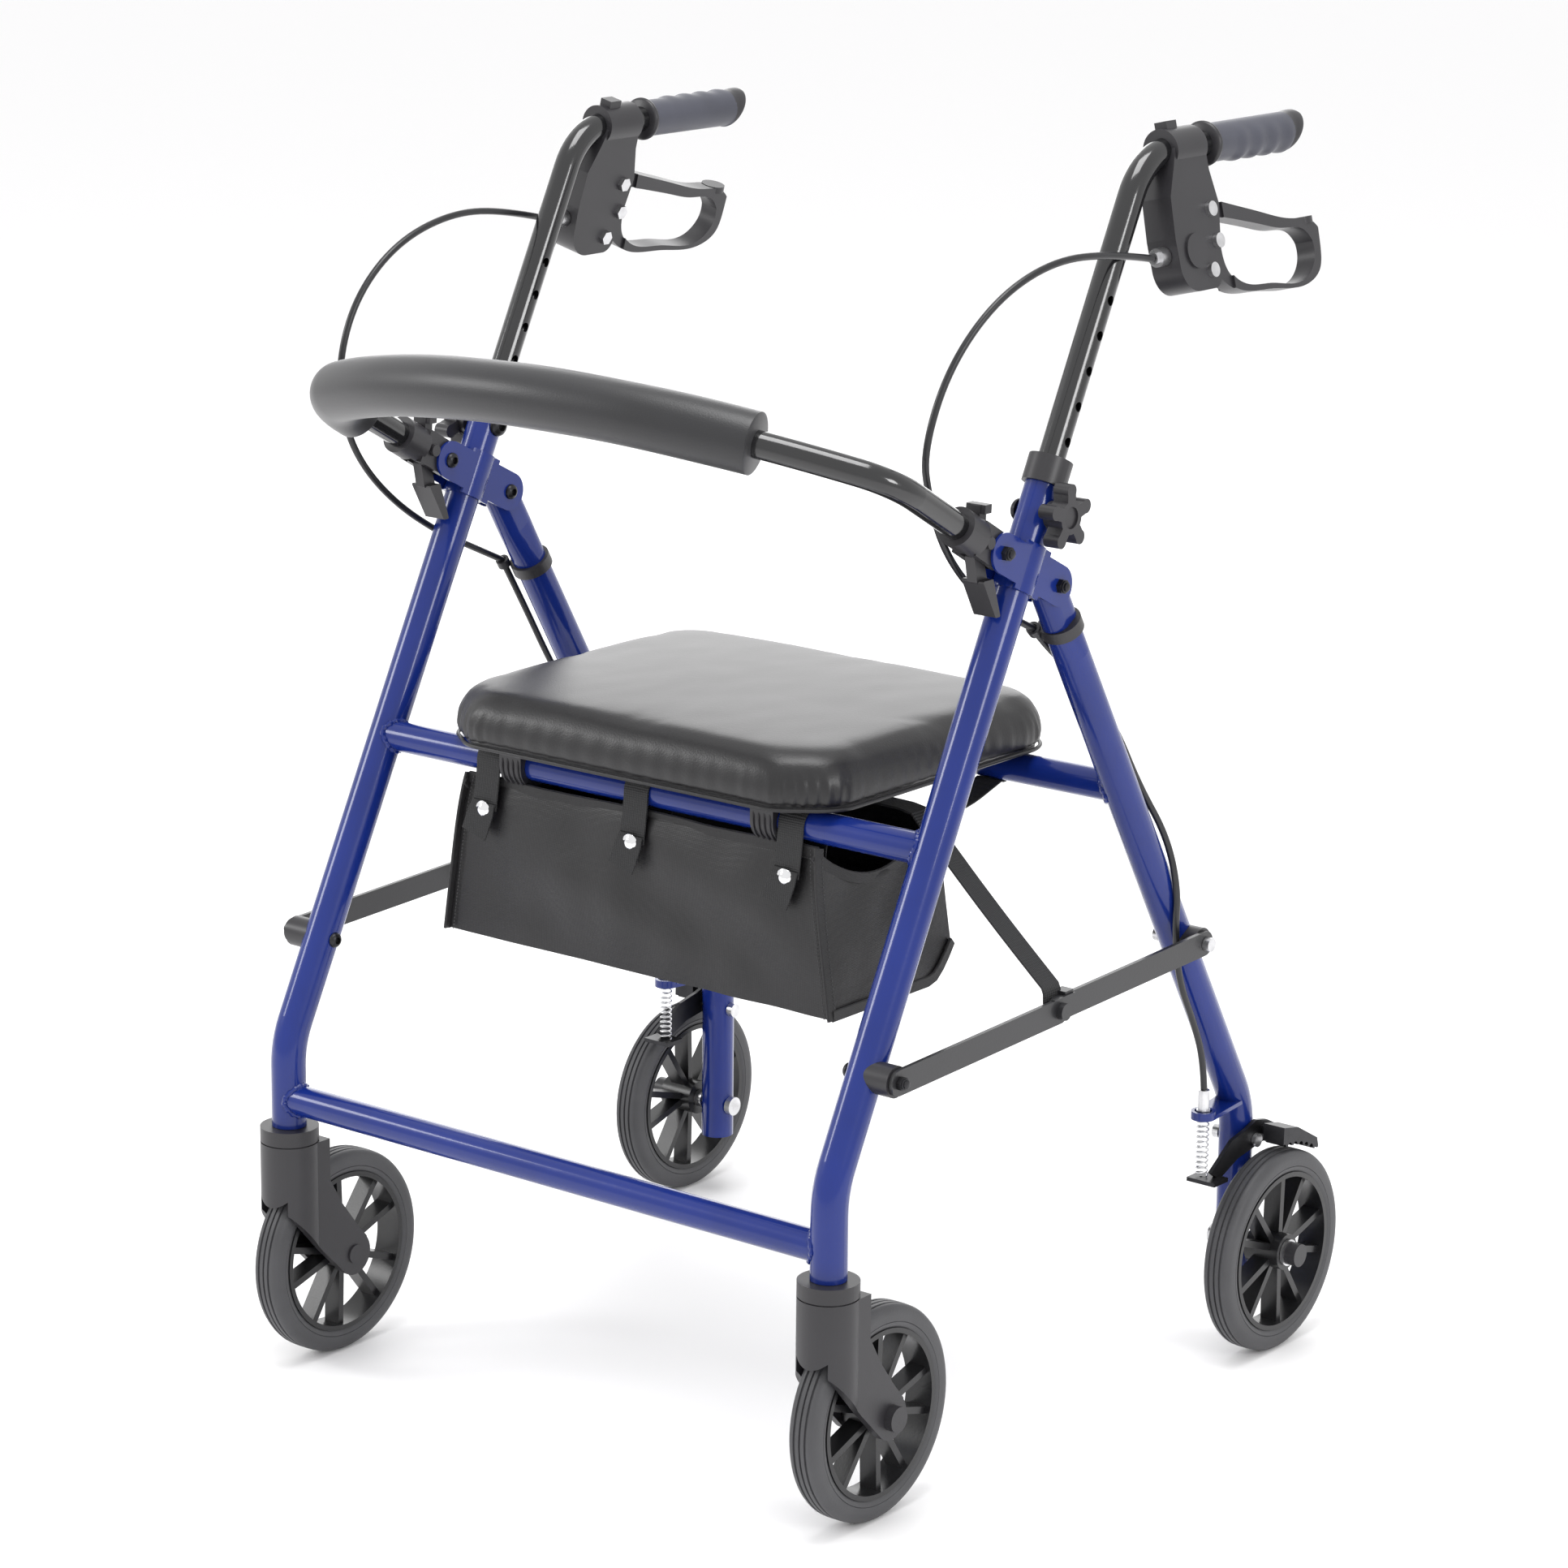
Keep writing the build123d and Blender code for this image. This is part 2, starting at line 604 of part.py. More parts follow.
def brake_plane(side):
    """Plane of a brake: origin on the grip axis, local x is Y, local y points up."""
    tilt = radians(housing_tilt)
    drop = handle_shift(side)
    return Plane(
        origin=(side * leg_x, drop * along[1], left_handle_z + drop * along[2]),
        x_dir=(0, 1, 0), z_dir=(cos(tilt), 0, side * sin(tilt)),
    )


for side, hand in sides:
    x = side * leg_x
    drop = handle_shift(side)
    dy = drop * along[1]
    grip_z = left_handle_z + drop * along[2]
    apex_s = (grip_z - front_bend_z) / along[2]
    with BuildPart() as handle_tube:
        with BuildLine():
            FilletPolyline(
                (x, *leg_point(handle_low_s + drop)), (x, *leg_point(apex_s)), (x, grip_end_y + dy - 26, grip_z),
                radius=handle_bend_r,
            )
        with BuildSketch(leg_plane(side, handle_low_s + drop)):
            Circle(handle_r)
            Circle(handle_r - tube_wall, mode=Mode.SUBTRACT)
        sweep()
        for k in range(-4, 7):
            rod_x(x - 15, x + 15, *leg_point(clamp_s + drop + hole_pitch * k), 3.4, mode=Mode.SUBTRACT)
    write(handle_tube, f"handle_tube_{hand}")

    with BuildPart() as grip:
        with BuildSketch(Plane(origin=(x, grip_start_y + dy, grip_z), x_dir=(1, 0, 0), z_dir=(0, 1, 0))):
            Circle(16.5)
        extrude(amount=4)
        with BuildSketch(Plane(origin=(x, grip_start_y + dy, grip_z), x_dir=(1, 0, 0), z_dir=(0, 1, 0))):
            Circle(14.2)
        extrude(amount=grip_end_y - grip_start_y)
        with BuildSketch(Plane(origin=(x, 0, 0), x_dir=(0, 1, 0), z_dir=(1, 0, 0))):
            Polygon(
                (grip_end_y + dy - 18, grip_z - 20), (grip_end_y + dy - 1, grip_z + 11), (grip_end_y + dy, grip_z + 20),
                (grip_end_y + dy + 30, grip_z + 20), (grip_end_y + dy + 30, grip_z - 20), align=None,
            )
        extrude(amount=20, both=True, mode=Mode.SUBTRACT)
        with BuildSketch(Plane(origin=(x, grip_start_y + dy, grip_z), x_dir=(1, 0, 0), z_dir=(0, 1, 0))):
            Circle(handle_r)
        extrude(amount=grip_end_y - grip_start_y - 26, mode=Mode.SUBTRACT)
    write(grip, f"grip_{hand}")

    with BuildPart() as brake_housing:
        with BuildSketch(brake_plane(side)) as brake_housing_sketch:
            with BuildLine():
                Polyline(
                    (84, 0), (120, 0), (120, -18), (125, -42), (119, -69), (112, -98.6),
                    (67, -98.6), (66.3, -60), (69, -32), (79, -12), close=True,
                )
            make_face()
            corners = brake_housing_sketch.vertices()
            fillet(corners.group_by(Axis.Y)[0].sort_by(Axis.X)[0], 19)
            fillet(brake_housing_sketch.vertices().group_by(Axis.Y)[0].sort_by(Axis.X)[-1], 10)
        extrude(amount=housing_half, both=True)
        with BuildSketch(Plane(origin=(x, 84 + dy, grip_z), x_dir=(1, 0, 0), z_dir=(0, 1, 0))):
            Circle(14.5)
        extrude(amount=36)
        with BuildSketch(brake_plane(side)):
            with Locations((95, 15)):
                Rectangle(12, 8)
        extrude(amount=5, both=True)
        with BuildSketch(brake_plane(side).offset(side * housing_half)):
            with Locations((88, -71)):
                Circle(12)
        extrude(amount=side * 1.6)
        with BuildSketch(brake_plane(side)):
            with Locations(bolts[0]):
                Circle(12)
            with Locations((125, -44)):
                Rectangle(25, 32)
            with Locations((124, -65)):
                Rectangle(11, 30)
        extrude(amount=slot_lever, both=True, mode=Mode.SUBTRACT)
        with BuildSketch(brake_plane(side)):
            with Locations(*bolts):
                Circle(bolt_r)
        extrude(amount=20, both=True, mode=Mode.SUBTRACT)
        with BuildLine():
            FilletPolyline(
                (x, *leg_point(handle_low_s + drop)), (x, *leg_point(apex_s)), (x, grip_end_y + dy, grip_z),
                radius=handle_bend_r,
            )
        with BuildSketch(leg_plane(side, handle_low_s + drop)):
            Circle(handle_r)
        sweep(mode=Mode.SUBTRACT)
    write(brake_housing, f"brake_housing_{hand}")

    with BuildPart() as brake_hardware:
        with BuildSketch(brake_plane(side)):
            with Locations(*bolts):
                Circle(bolt_r)
        extrude(amount=housing_half + 0.5, both=True)
        with BuildSketch(brake_plane(side).offset(side * housing_half)):
            with Locations(*bolts):
                Circle(5.2)
        extrude(amount=side * 3.2)
        with BuildSketch(brake_plane(side).offset(-side * housing_half)):
            with Locations(*bolts):
                RegularPolygon(5.4, 6)
        extrude(amount=-side * 3.5)
        axis_point = brake_plane(side).from_local_coords((70, -adjuster_w, 0))
        with BuildSketch(Plane(origin=(axis_point.X, 66 + dy, axis_point.Z), x_dir=(1, 0, 0), z_dir=(0, -1, 0))):
            Circle(6.5)
        extrude(amount=9)
        with BuildSketch(Plane(origin=(axis_point.X, 66 + dy, axis_point.Z), x_dir=(1, 0, 0), z_dir=(0, -1, 0))):
            Circle(4)
        extrude(amount=13)
        with BuildSketch(Plane(origin=(axis_point.X, 66 + dy, axis_point.Z), x_dir=(1, 0, 0), z_dir=(0, -1, 0))):
            Circle(1)
        extrude(amount=13, mode=Mode.SUBTRACT)
    write(brake_hardware, f"brake_hardware_{hand}")

    with BuildPart() as brake_lever:
        with BuildSketch(brake_plane(side)) as lever_shape:
            with BuildLine():
                Spline((116, -36), (136.6, -41.8), (180, -53), (221, -61.8), (239, -64), (249.5, -71))
                Spline((249.5, -71), (248.5, -84), (244, -99), (230, -107.4), (180, -107), (138.3, -102.6), (120.6, -92))
                Polyline((120.6, -92), (121.5, -74), (121, -60), (108, -52), (105, -42), (116, -36))
            make_face()
            with Locations(bolts[0]):
                Circle(9.5)
            with BuildLine():
                Spline((131, -51.5), (160, -57.5), (180, -62), (205, -67), (230, -70.5), (239.5, -80))
                Spline((239.5, -80), (238.5, -92), (228, -102.6), (180, -103), (146, -99), (132, -89), (128, -72), (131, -51.5))
            make_face(mode=Mode.SUBTRACT)
            with Locations(bolts[0]):
                Circle(bolt_r + running, mode=Mode.SUBTRACT)
        extrude(amount=lever_half, both=True)
        with BuildSketch(brake_plane(side)):
            add(lever_shape.sketch_local)
            with Locations((200, -80)):
                Rectangle(130, 90, mode=Mode.INTERSECT)
        extrude(amount=loop_half, both=True)
        tip = brake_plane(side).from_local_coords((239, -67, 0))
        with BuildSketch(Plane(origin=tip, x_dir=(0, 1, 0), z_dir=brake_plane(side).y_dir)):
            Circle(9)
        extrude(amount=5)
    write(brake_lever, f"brake_lever_{hand}")

# ---------------------------------------------------------------- backrest
rise = 29.5
back_arm_x = 249.0
back_mid = 195.0                # pivot to the middle of the bar, in the backrest's plane
back_arc_r = 478.0
back_corner_r = 40.0
back_spread = 28.5              # half the angle of the broad arc
pad_r = 21.5
pad_end_x = 163.0
pad_arm_t = 95.0
tube_start = 34.5
back_dir = (0, -cos(radians(rise)), sin(radians(rise)))
back_plane = Plane(
    origin=(0, back_pivot_y, back_pivot_z), x_dir=(1, 0, 0), z_dir=(0, -sin(radians(rise)), -cos(radians(rise)))
)
arc_centre = back_mid - back_arc_r
corner_x = (back_arc_r - back_corner_r) * sin(radians(back_spread))
corner_t = arc_centre + (back_arc_r - back_corner_r) * cos(radians(back_spread))
join_x = back_arc_r * sin(radians(back_spread))
join_t = arc_centre + back_arc_r * cos(radians(back_spread))
half_turn = radians(90 - back_spread) / 2
back_arm_x = corner_x + back_corner_r
knee_x = corner_x + back_corner_r * cos(half_turn)
knee_t = corner_t + back_corner_r * sin(half_turn)


def back_station(t):
    """Plane square to a backrest arm at t from the pivot, its origin in the middle of the walker."""
    return Plane(
        origin=(0, back_pivot_y + t * back_dir[1], back_pivot_z + t * back_dir[2]), x_dir=(1, 0, 0), z_dir=back_dir
    )


with BuildPart() as backrest_tube:
    with BuildLine(back_plane):
        Line((-back_arm_x, tube_start), (-back_arm_x, corner_t))
        ThreePointArc((-back_arm_x, corner_t), (-knee_x, knee_t), (-join_x, join_t))
        ThreePointArc((-join_x, join_t), (0, back_mid), (join_x, join_t))
        ThreePointArc((join_x, join_t), (knee_x, knee_t), (back_arm_x, corner_t))
        Line((back_arm_x, corner_t), (back_arm_x, tube_start))
    with BuildSketch(back_station(tube_start)):
        with Locations((-back_arm_x, 0)):
            Circle(handle_r)
            Circle(handle_r - tube_wall, mode=Mode.SUBTRACT)
    sweep()
write(backrest_tube, "backrest_tube")

pad_end_t = arc_centre + (back_arc_r**2 - pad_end_x**2) ** 0.5
with BuildPart() as backrest_pad:
    with BuildLine(back_plane):
        Line((-back_arm_x, pad_arm_t), (-back_arm_x, corner_t))
        ThreePointArc((-back_arm_x, corner_t), (-knee_x, knee_t), (-join_x, join_t))
        ThreePointArc((-join_x, join_t), (0, back_mid), (pad_end_x, pad_end_t))
    with BuildSketch(back_station(pad_arm_t)):
        with Locations((-back_arm_x, 0)):
            Circle(pad_r)
            Circle(handle_r, mode=Mode.SUBTRACT)
    sweep()
write(backrest_pad, "backrest_pad")

socket_r = 14.0
lug_r = 12.5
lug_half = ear_inner - gap
socket_end = 47.0
lever_slot = 4.4
release_t = 19.2
with BuildPart() as backrest_sockets:
    for side, hand in sides:
        x = side * leg_x
        side_view = Plane(origin=(x, back_pivot_y, back_pivot_z), x_dir=back_dir, z_dir=(-1, 0, 0))
        with BuildPart(mode=Mode.PRIVATE) as socket:
            with BuildSketch(side_view):
                Circle(lug_r)
                with Locations((14, 0)):
                    Rectangle(28, 2 * lug_r)
            extrude(amount=lug_half, both=True)
            with BuildSketch(back_station(26)):
                with Locations((side * back_arm_x, 0)):
                    Circle(socket_r)
            extrude(amount=socket_end - 26)
            with BuildSketch(back_station(tube_start)):
                with Locations((side * back_arm_x, 0)):
                    Circle(handle_r)
            extrude(amount=socket_end, mode=Mode.SUBTRACT)
            with BuildSketch(side_view):
                with Locations((19.5, 0)):
                    Rectangle(27, 40)
                with Locations((2, -15)):
                    Rectangle(16, 14)
            extrude(amount=lever_slot, both=True, mode=Mode.SUBTRACT)
            with BuildSketch(side_view):
                Circle(bolt_r + running)
                with Locations((release_t, 0)):
                    Circle(bolt_r + running)
            extrude(amount=20, both=True, mode=Mode.SUBTRACT)
        add(socket.part)
write(backrest_sockets, "backrest_sockets")

# ---------------------------------------------------------------- backrest release levers
rivet_y = back_pivot_y + release_t * back_dir[1]
rivet_z = back_pivot_z + release_t * back_dir[2]
for side, hand in sides:
    x = side * leg_x
    with BuildPart() as release_lever:
        with BuildSketch(Plane(origin=(x, rivet_y, rivet_z), x_dir=(0, 1, 0), z_dir=(1, 0, 0))):
            with BuildLine():
                FilletPolyline(
                    (-4, 0), (-1.5, 25), (5.5, 25), (4.5, 4), (4.5, -16), (8, -28), (-3.5, -28), (-7, -10),
                    radius=1, close=True,
                )
            make_face()
        extrude(amount=lever_slot - gap, both=True)
        with BuildSketch(Plane(origin=(x, rivet_y, rivet_z), x_dir=(0, 1, 0), z_dir=(1, 0, 0))):
            with BuildLine():
                FilletPolyline((-3.5, -26), (8, -26), (17, -53), (11.5, -53), radius=1, close=True)
            make_face()
        extrude(amount=9, both=True)
        with BuildSketch(Plane(origin=(x, rivet_y, rivet_z), x_dir=(0, 1, 0), z_dir=(1, 0, 0))):
            with BuildLine():
                Polyline((-1.6, 19), (-1, 25), (6, 25), (5.6, 19), close=True)
            make_face()
        extrude(amount=8, both=True)
        rod_x(x - lug_half - 1, x + lug_half + 1, rivet_y, rivet_z, bolt_r)
        rod_x(x - lug_half - 3, x - lug_half - gap, rivet_y, rivet_z, 4.2)
        rod_x(x + lug_half + gap, x + lug_half + 3, rivet_y, rivet_z, 4.2)
    write(release_lever, f"release_lever_{hand}")

# ---------------------------------------------------------------- seat
seat_half = 178.0
seat_y0 = -200.0
seat_y1 = 92.0
board_z = 470.0
board_thick = 8.0
cushion_z = 471.0
cushion_top = 511.0
saddle_x = 114.0
saddle_w = 20.0
seat_mid_y = (seat_y0 + seat_y1) / 2


def seat_face(inset):
    """Outline of the seat drawn in by inset: cut front corners and rounded rear ones."""
    half, front, rear = seat_half - inset, seat_y0 + inset, seat_y1 - inset
    cut_x, cut_y = 38 - inset * 0.4, 30 - inset * 0.4
    with BuildSketch() as outline:
        Polygon(
            (-half + cut_x, front), (half - cut_x, front), (half, front + cut_y), (half, rear),
            (-half, rear), (-half, front + cut_y), align=None,
        )
        fillet(outline.vertices().group_by(Axis.Y)[-1], 42 - inset)
        fillet(outline.vertices().group_by(Axis.Y)[:2][0], 22)
        fillet(outline.vertices().filter_by(lambda v: abs(v.Y - front - cut_y) < 0.01), 22)
    return outline.sketch


with BuildPart() as seat_board:
    with BuildSketch(Plane.XY.offset(board_z)):
        add(seat_face(7))
    extrude(amount=board_thick)
write(seat_board, "seat_board")

with BuildPart() as seat_cushion:
    with BuildSketch(Plane.XY.offset(cushion_z)):
        add(seat_face(0))
    extrude(amount=cushion_top - cushion_z)
    fillet(seat_cushion.edges().group_by(Axis.Z)[-1], 15)
    with BuildSketch(Plane.XY.offset(board_z)):
        add(seat_face(7))
    extrude(amount=board_thick, mode=Mode.SUBTRACT)
write(seat_cushion, "seat_cushion")

with BuildPart() as seat_saddles:
    for x in (-saddle_x, saddle_x):
        with BuildSketch(Plane.YZ.offset(x)):
            with Locations((seat_front_y, seat_tube_z)):
                Circle(15.5)
            with Locations((seat_front_y, (seat_tube_z + board_z) / 2)):
                Rectangle(31, board_z - seat_tube_z)
            with Locations((seat_rear_y + 5, board_z - 6)):
                Rectangle(22, 12)
            with Locations((seat_front_y, seat_tube_z)):
                Circle(cross_r + running, mode=Mode.SUBTRACT)
            with Locations((seat_rear_y, seat_tube_z)):
                Circle(cross_r + gap, mode=Mode.SUBTRACT)
            with Locations((seat_rear_y - 11.7, seat_tube_z + 5)):
                Rectangle(12, 24, mode=Mode.SUBTRACT)
            with Locations((seat_mid_y, board_z + 10)):
                Rectangle(300, 20, mode=Mode.SUBTRACT)
        extrude(amount=saddle_w / 2, both=True)
write(seat_saddles, "seat_saddles")

# ---------------------------------------------------------------- pouch under the seat
pouch_top_z = 441.0
pouch_bottom_z = 326.0
pouch_front_y = -173.0
pouch_back_y = -36.0
pouch_top_half = 158.0
pouch_bottom_half = 175.0
cloth = 2.5


def pouch_block(inset, z0, z1):
    """Tapered block of the pouch, inset on all sides, from z0 to z1."""
    with BuildPart(mode=Mode.PRIVATE) as block:
        for z in (z0, z1):
            share = (z - pouch_bottom_z) / (pouch_top_z - pouch_bottom_z)
            half = pouch_bottom_half + (pouch_top_half - pouch_bottom_half) * share
            with BuildSketch(Plane.XY.offset(z)):
                with Locations((0, (pouch_front_y + pouch_back_y) / 2)):
                    RectangleRounded(2 * (half - inset), pouch_back_y - pouch_front_y - 2 * inset, 14 - inset)
        loft()
    return block.part


with BuildPart() as pouch:
    add(pouch_block(0, pouch_bottom_z, pouch_top_z))
    add(pouch_block(cloth, pouch_bottom_z + cloth, pouch_top_z + 5), mode=Mode.SUBTRACT)
    with BuildSketch(Plane.YZ):
        with BuildLine():
            Polyline((pouch_front_y + 20, 445), (pouch_front_y + 45, 424), (-80, 416), (-45, 418), (-40, 445), close=True)
        make_face()
        with BuildLine():
            Polyline((-60, 320), (-47, 344), (-30, 352), (-30, 320), close=True)
        make_face()
    extrude(amount=200, both=True, mode=Mode.SUBTRACT)
    with BuildSketch(Plane.YZ):
        with BuildLine():
            Polyline(
                (-60 - cloth, pouch_bottom_z), (-60, pouch_bottom_z), (-46, 344), (pouch_back_y, 350),
                (pouch_back_y, 350 + cloth), (-48, 344 + cloth), close=True,
            )
        make_face()
    extrude(amount=pouch_bottom_half - 9, both=True)
write(pouch, "pouch")

strap_x = 137.0
pouch_strap_w = 22.0
wrap_in = cross_r + gap
wrap_out = wrap_in + 1.6
snap_z = 421.0
with BuildPart() as pouch_straps:
    for x in (-strap_x, 0, strap_x):
        with BuildSketch(Plane.YZ.offset(x)):
            with Locations((seat_front_y, seat_tube_z)):
                Circle(wrap_out)
            with Locations((seat_front_y, seat_tube_z - 25)):
                Rectangle(2 * wrap_out, 50)
            with Locations((seat_front_y, seat_tube_z)):
                Circle(wrap_in, mode=Mode.SUBTRACT)
            with Locations((seat_front_y, seat_tube_z - 25)):
                Rectangle(2 * wrap_in, 50, mode=Mode.SUBTRACT)
            with Locations((seat_front_y + 15, seat_tube_z - 35)):
                Rectangle(14, 40, mode=Mode.SUBTRACT)
            if x:
                with BuildLine():
                    Polyline(
                        (pouch_back_y + 0.3, 425), (pouch_back_y + 0.3, 436), (40, seat_tube_z - 12.6),
                        (48, seat_tube_z - 12.6), (48, seat_tube_z - 14.2), (40, seat_tube_z - 14.2),
                        (pouch_back_y + 1.9, 434.6), (pouch_back_y + 1.9, 425), close=True,
                    )
                make_face()
                with Locations((seat_rear_y, seat_tube_z)):
                    Circle(wrap_out + 1)
                    Circle(wrap_in, mode=Mode.SUBTRACT)
        extrude(amount=pouch_strap_w / 2, both=True)
write(pouch_straps, "pouch_straps")

with BuildPart() as pouch_snaps:
    for x in (-strap_x, 0, strap_x):
        with BuildSketch(Plane(origin=(x, seat_front_y - wrap_out, snap_z), x_dir=(1, 0, 0), z_dir=(0, -1, 0))):
            Circle(7)
        extrude(amount=2.2)
        with BuildSketch(
            Plane(origin=(x, seat_front_y - wrap_out - 2.2, snap_z), x_dir=(1, 0, 0), z_dir=(0, -1, 0))
        ):
            Circle(4)
        extrude(amount=1)
write(pouch_snaps, "pouch_snaps")

# ---------------------------------------------------------------- brake cables
cable_r = 2.5
upper_left = [
    (264.7, 52.3, 830.1), (263, 10, 838), (257, -52, 840), (247, -104, 818), (236, -140, 775), (230, -157, 722),
    (229.5, -149, 690), (229.5, -133, 655), (229.5, -104, 624), (230.5, -68, 600), (234, -35, 584.5),
]
lower_left = [
    (234, -33.6, 583.8), (229, -2.4, 559), (237, 28, 537), (247.5, 50.9, 498.5), (249.5, 77.9, 453.5),
    (257.5, 103, 413), (264.5, 109, 374), (260.5, 113, 341), (256.5, 126, 300), (255, 150, 262),
    (255, 163.5, 232), (255, 166, 208.3),
]
upper_right = [
    (-264.7, 40.8, 807.5), (-265, -6, 819), (-266.5, -64, 824), (-270, -121, 808), (-273.5, -161, 773),
    (-275, -179, 727), (-275, -174, 682), (-272.5, -157, 648), (-270, -124, 616), (-266, -84, 590),
    (-264, -52, 575), (-262.5, -19.8, 560.4),
]
lower_right = [
    (-262.5, -18.5, 559.5), (-264, 8, 520), (-265, 38, 472), (-265, 72, 424), (-265, 104, 378),
    (-260.5, 113, 341), (-256.5, 126, 300), (-255, 150, 262), (-255, 163.5, 232), (-255, 166, 208.3),
]


def bend_radii(points):
    """The widest bend that fits at every inner point of a cable's route."""
    radii = []
    for k in range(1, len(points) - 1):
        before = Vector(*points[k]) - Vector(*points[k - 1])
        after = Vector(*points[k + 1]) - Vector(*points[k])
        half = radians(before.get_angle(after)) / 2
        radii.append(0.45 * min(before.length, after.length) / tan(half))
    return radii


def cable(points):
    """A round cable through a list of points."""
    start = Vector(*points[1]) - Vector(*points[0])
    with BuildPart() as run:
        with BuildLine() as route:
            FilletPolyline(*points, radius=bend_radii(points))
        with BuildSketch(Plane(origin=points[0], z_dir=start)):
            Circle(cable_r)
        sweep()
    length = route.wires()[0].length
    print("cable", round(length), "mm, smallest bend", round(min(bend_radii(points))),
          "volume share", round(run.part.volume / (length * pi * cable_r**2), 4))
    return run.part


with BuildPart() as upper_cables:
    add(cable(upper_left))
    add(cable(upper_right))
write(upper_cables, "upper_cables")

with BuildPart() as lower_cables:
    add(cable(lower_left))
    add(cable(lower_right))
write(lower_cables, "lower_cables")

with BuildPart() as cable_clips:
    for side, t, point, nearby in (
        (1, 33, lower_left[0], lower_left[1]), (-1, 66, lower_right[0], lower_right[1])
    ):
        with BuildSketch(rear_plane(side, t)):
            Circle(tube_r + 2.6)
        extrude(amount=9)
        heading = Vector(*nearby) - Vector(*point)
        with BuildSketch(Plane(origin=Vector(*point) - heading.normalized() * 0.5, z_dir=heading)):
            Circle(5)
        extrude(amount=6)
        with BuildSketch(rear_plane(side, 34)):
            SlotOverall(28, 2 * pinch_half, rotation=90)
        with BuildSketch(rear_plane(side, 62)):
            Circle(tube_r)
        loft(mode=Mode.SUBTRACT)
        with BuildSketch(rear_plane(side, 20)):
            SlotOverall(28, 2 * pinch_half, rotation=90)
        extrude(amount=14, mode=Mode.SUBTRACT)
        with BuildSketch(rear_plane(side, 62)):
            Circle(tube_r)
        extrude(amount=40, mode=Mode.SUBTRACT)
        with BuildSketch(Plane(origin=Vector(*point) - heading.normalized() * 12, z_dir=heading)):
            Circle(cable_r + gap + 0.3)
        extrude(amount=24, mode=Mode.SUBTRACT)
write(cable_clips, "cable_clips")
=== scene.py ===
from math import asin, atan2, cos, exp, pi, radians, sin, sqrt, tan

import bmesh
import bpy
from mathutils import Matrix, Vector, noise


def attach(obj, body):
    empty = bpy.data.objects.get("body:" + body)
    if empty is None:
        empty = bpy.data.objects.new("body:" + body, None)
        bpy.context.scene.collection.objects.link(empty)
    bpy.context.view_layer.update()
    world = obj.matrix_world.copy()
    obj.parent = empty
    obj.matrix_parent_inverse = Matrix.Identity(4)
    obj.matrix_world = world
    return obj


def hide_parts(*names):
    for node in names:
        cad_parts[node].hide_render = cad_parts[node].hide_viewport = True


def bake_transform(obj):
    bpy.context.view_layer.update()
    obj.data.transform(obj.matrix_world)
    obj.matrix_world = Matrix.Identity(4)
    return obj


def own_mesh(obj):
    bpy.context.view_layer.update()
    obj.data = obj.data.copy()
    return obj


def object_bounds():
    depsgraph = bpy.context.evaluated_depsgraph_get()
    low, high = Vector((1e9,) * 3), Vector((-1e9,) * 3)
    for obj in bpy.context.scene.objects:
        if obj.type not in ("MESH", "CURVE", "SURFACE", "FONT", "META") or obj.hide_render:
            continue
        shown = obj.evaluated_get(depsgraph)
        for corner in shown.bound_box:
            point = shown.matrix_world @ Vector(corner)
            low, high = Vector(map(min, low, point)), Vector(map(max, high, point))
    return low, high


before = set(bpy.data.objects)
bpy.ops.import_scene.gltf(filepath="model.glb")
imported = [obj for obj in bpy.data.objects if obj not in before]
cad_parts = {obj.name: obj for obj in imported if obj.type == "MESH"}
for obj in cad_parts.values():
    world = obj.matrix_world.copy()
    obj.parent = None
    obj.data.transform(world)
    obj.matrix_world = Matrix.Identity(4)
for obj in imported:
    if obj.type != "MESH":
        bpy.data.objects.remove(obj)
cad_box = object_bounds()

# ---------------------------------------------------------------- camera, floor and light
# A long lens from the front left, a little above the seat, on a pale floor that runs
# out of sight. Big soft lamps stand all round, as in a white studio.
view_turn = radians(38.295)
view_rise = radians(14.629)
view_roll = radians(0.615)
back = Vector((sin(view_turn) * cos(view_rise), -cos(view_turn) * cos(view_rise), sin(view_rise)))
across = (-back).cross(Vector((0, 0, 1))).normalized()
upward = across.cross(-back)
camera_x = across * cos(view_roll) + upward * sin(view_roll)
camera_y = upward * cos(view_roll) - across * sin(view_roll)
lens = bpy.data.cameras.new("camera")
lens.lens = 111.06
lens.sensor_width = 36.0
lens.clip_end = 60.0
camera = bpy.data.objects.new("camera", lens)
camera.matrix_world = Matrix((
    (camera_x.x, camera_y.x, back.x, 2.0928),
    (camera_x.y, camera_y.y, back.y, -2.6593),
    (camera_x.z, camera_y.z, back.z, 1.3109),
    (0, 0, 0, 1),
))
bpy.context.collection.objects.link(camera)
bpy.context.scene.camera = camera
bpy.context.scene.view_settings.view_transform = "Standard"

bpy.ops.mesh.primitive_plane_add(size=40, location=(0, 0, -0.0005))
floor = bpy.context.object
floor.name = "studio_floor"
floor_paint = bpy.data.materials.new("studio_floor")
floor_paint.use_nodes = True
floor_shader = floor_paint.node_tree.nodes["Principled BSDF"]
floor_shader.inputs["Base Color"].default_value = (0.97, 0.965, 0.97, 1)
floor_shader.inputs["Roughness"].default_value = 0.7
floor_shader.inputs["Specular IOR Level"].default_value = 0.2
floor.data.materials.append(floor_paint)

world = bpy.data.worlds.new("studio")
world.use_nodes = True
world.node_tree.nodes["Background"].inputs["Color"].default_value = (1, 1, 1, 1)
world.node_tree.nodes["Background"].inputs["Strength"].default_value = 1.0
bpy.context.scene.world = world


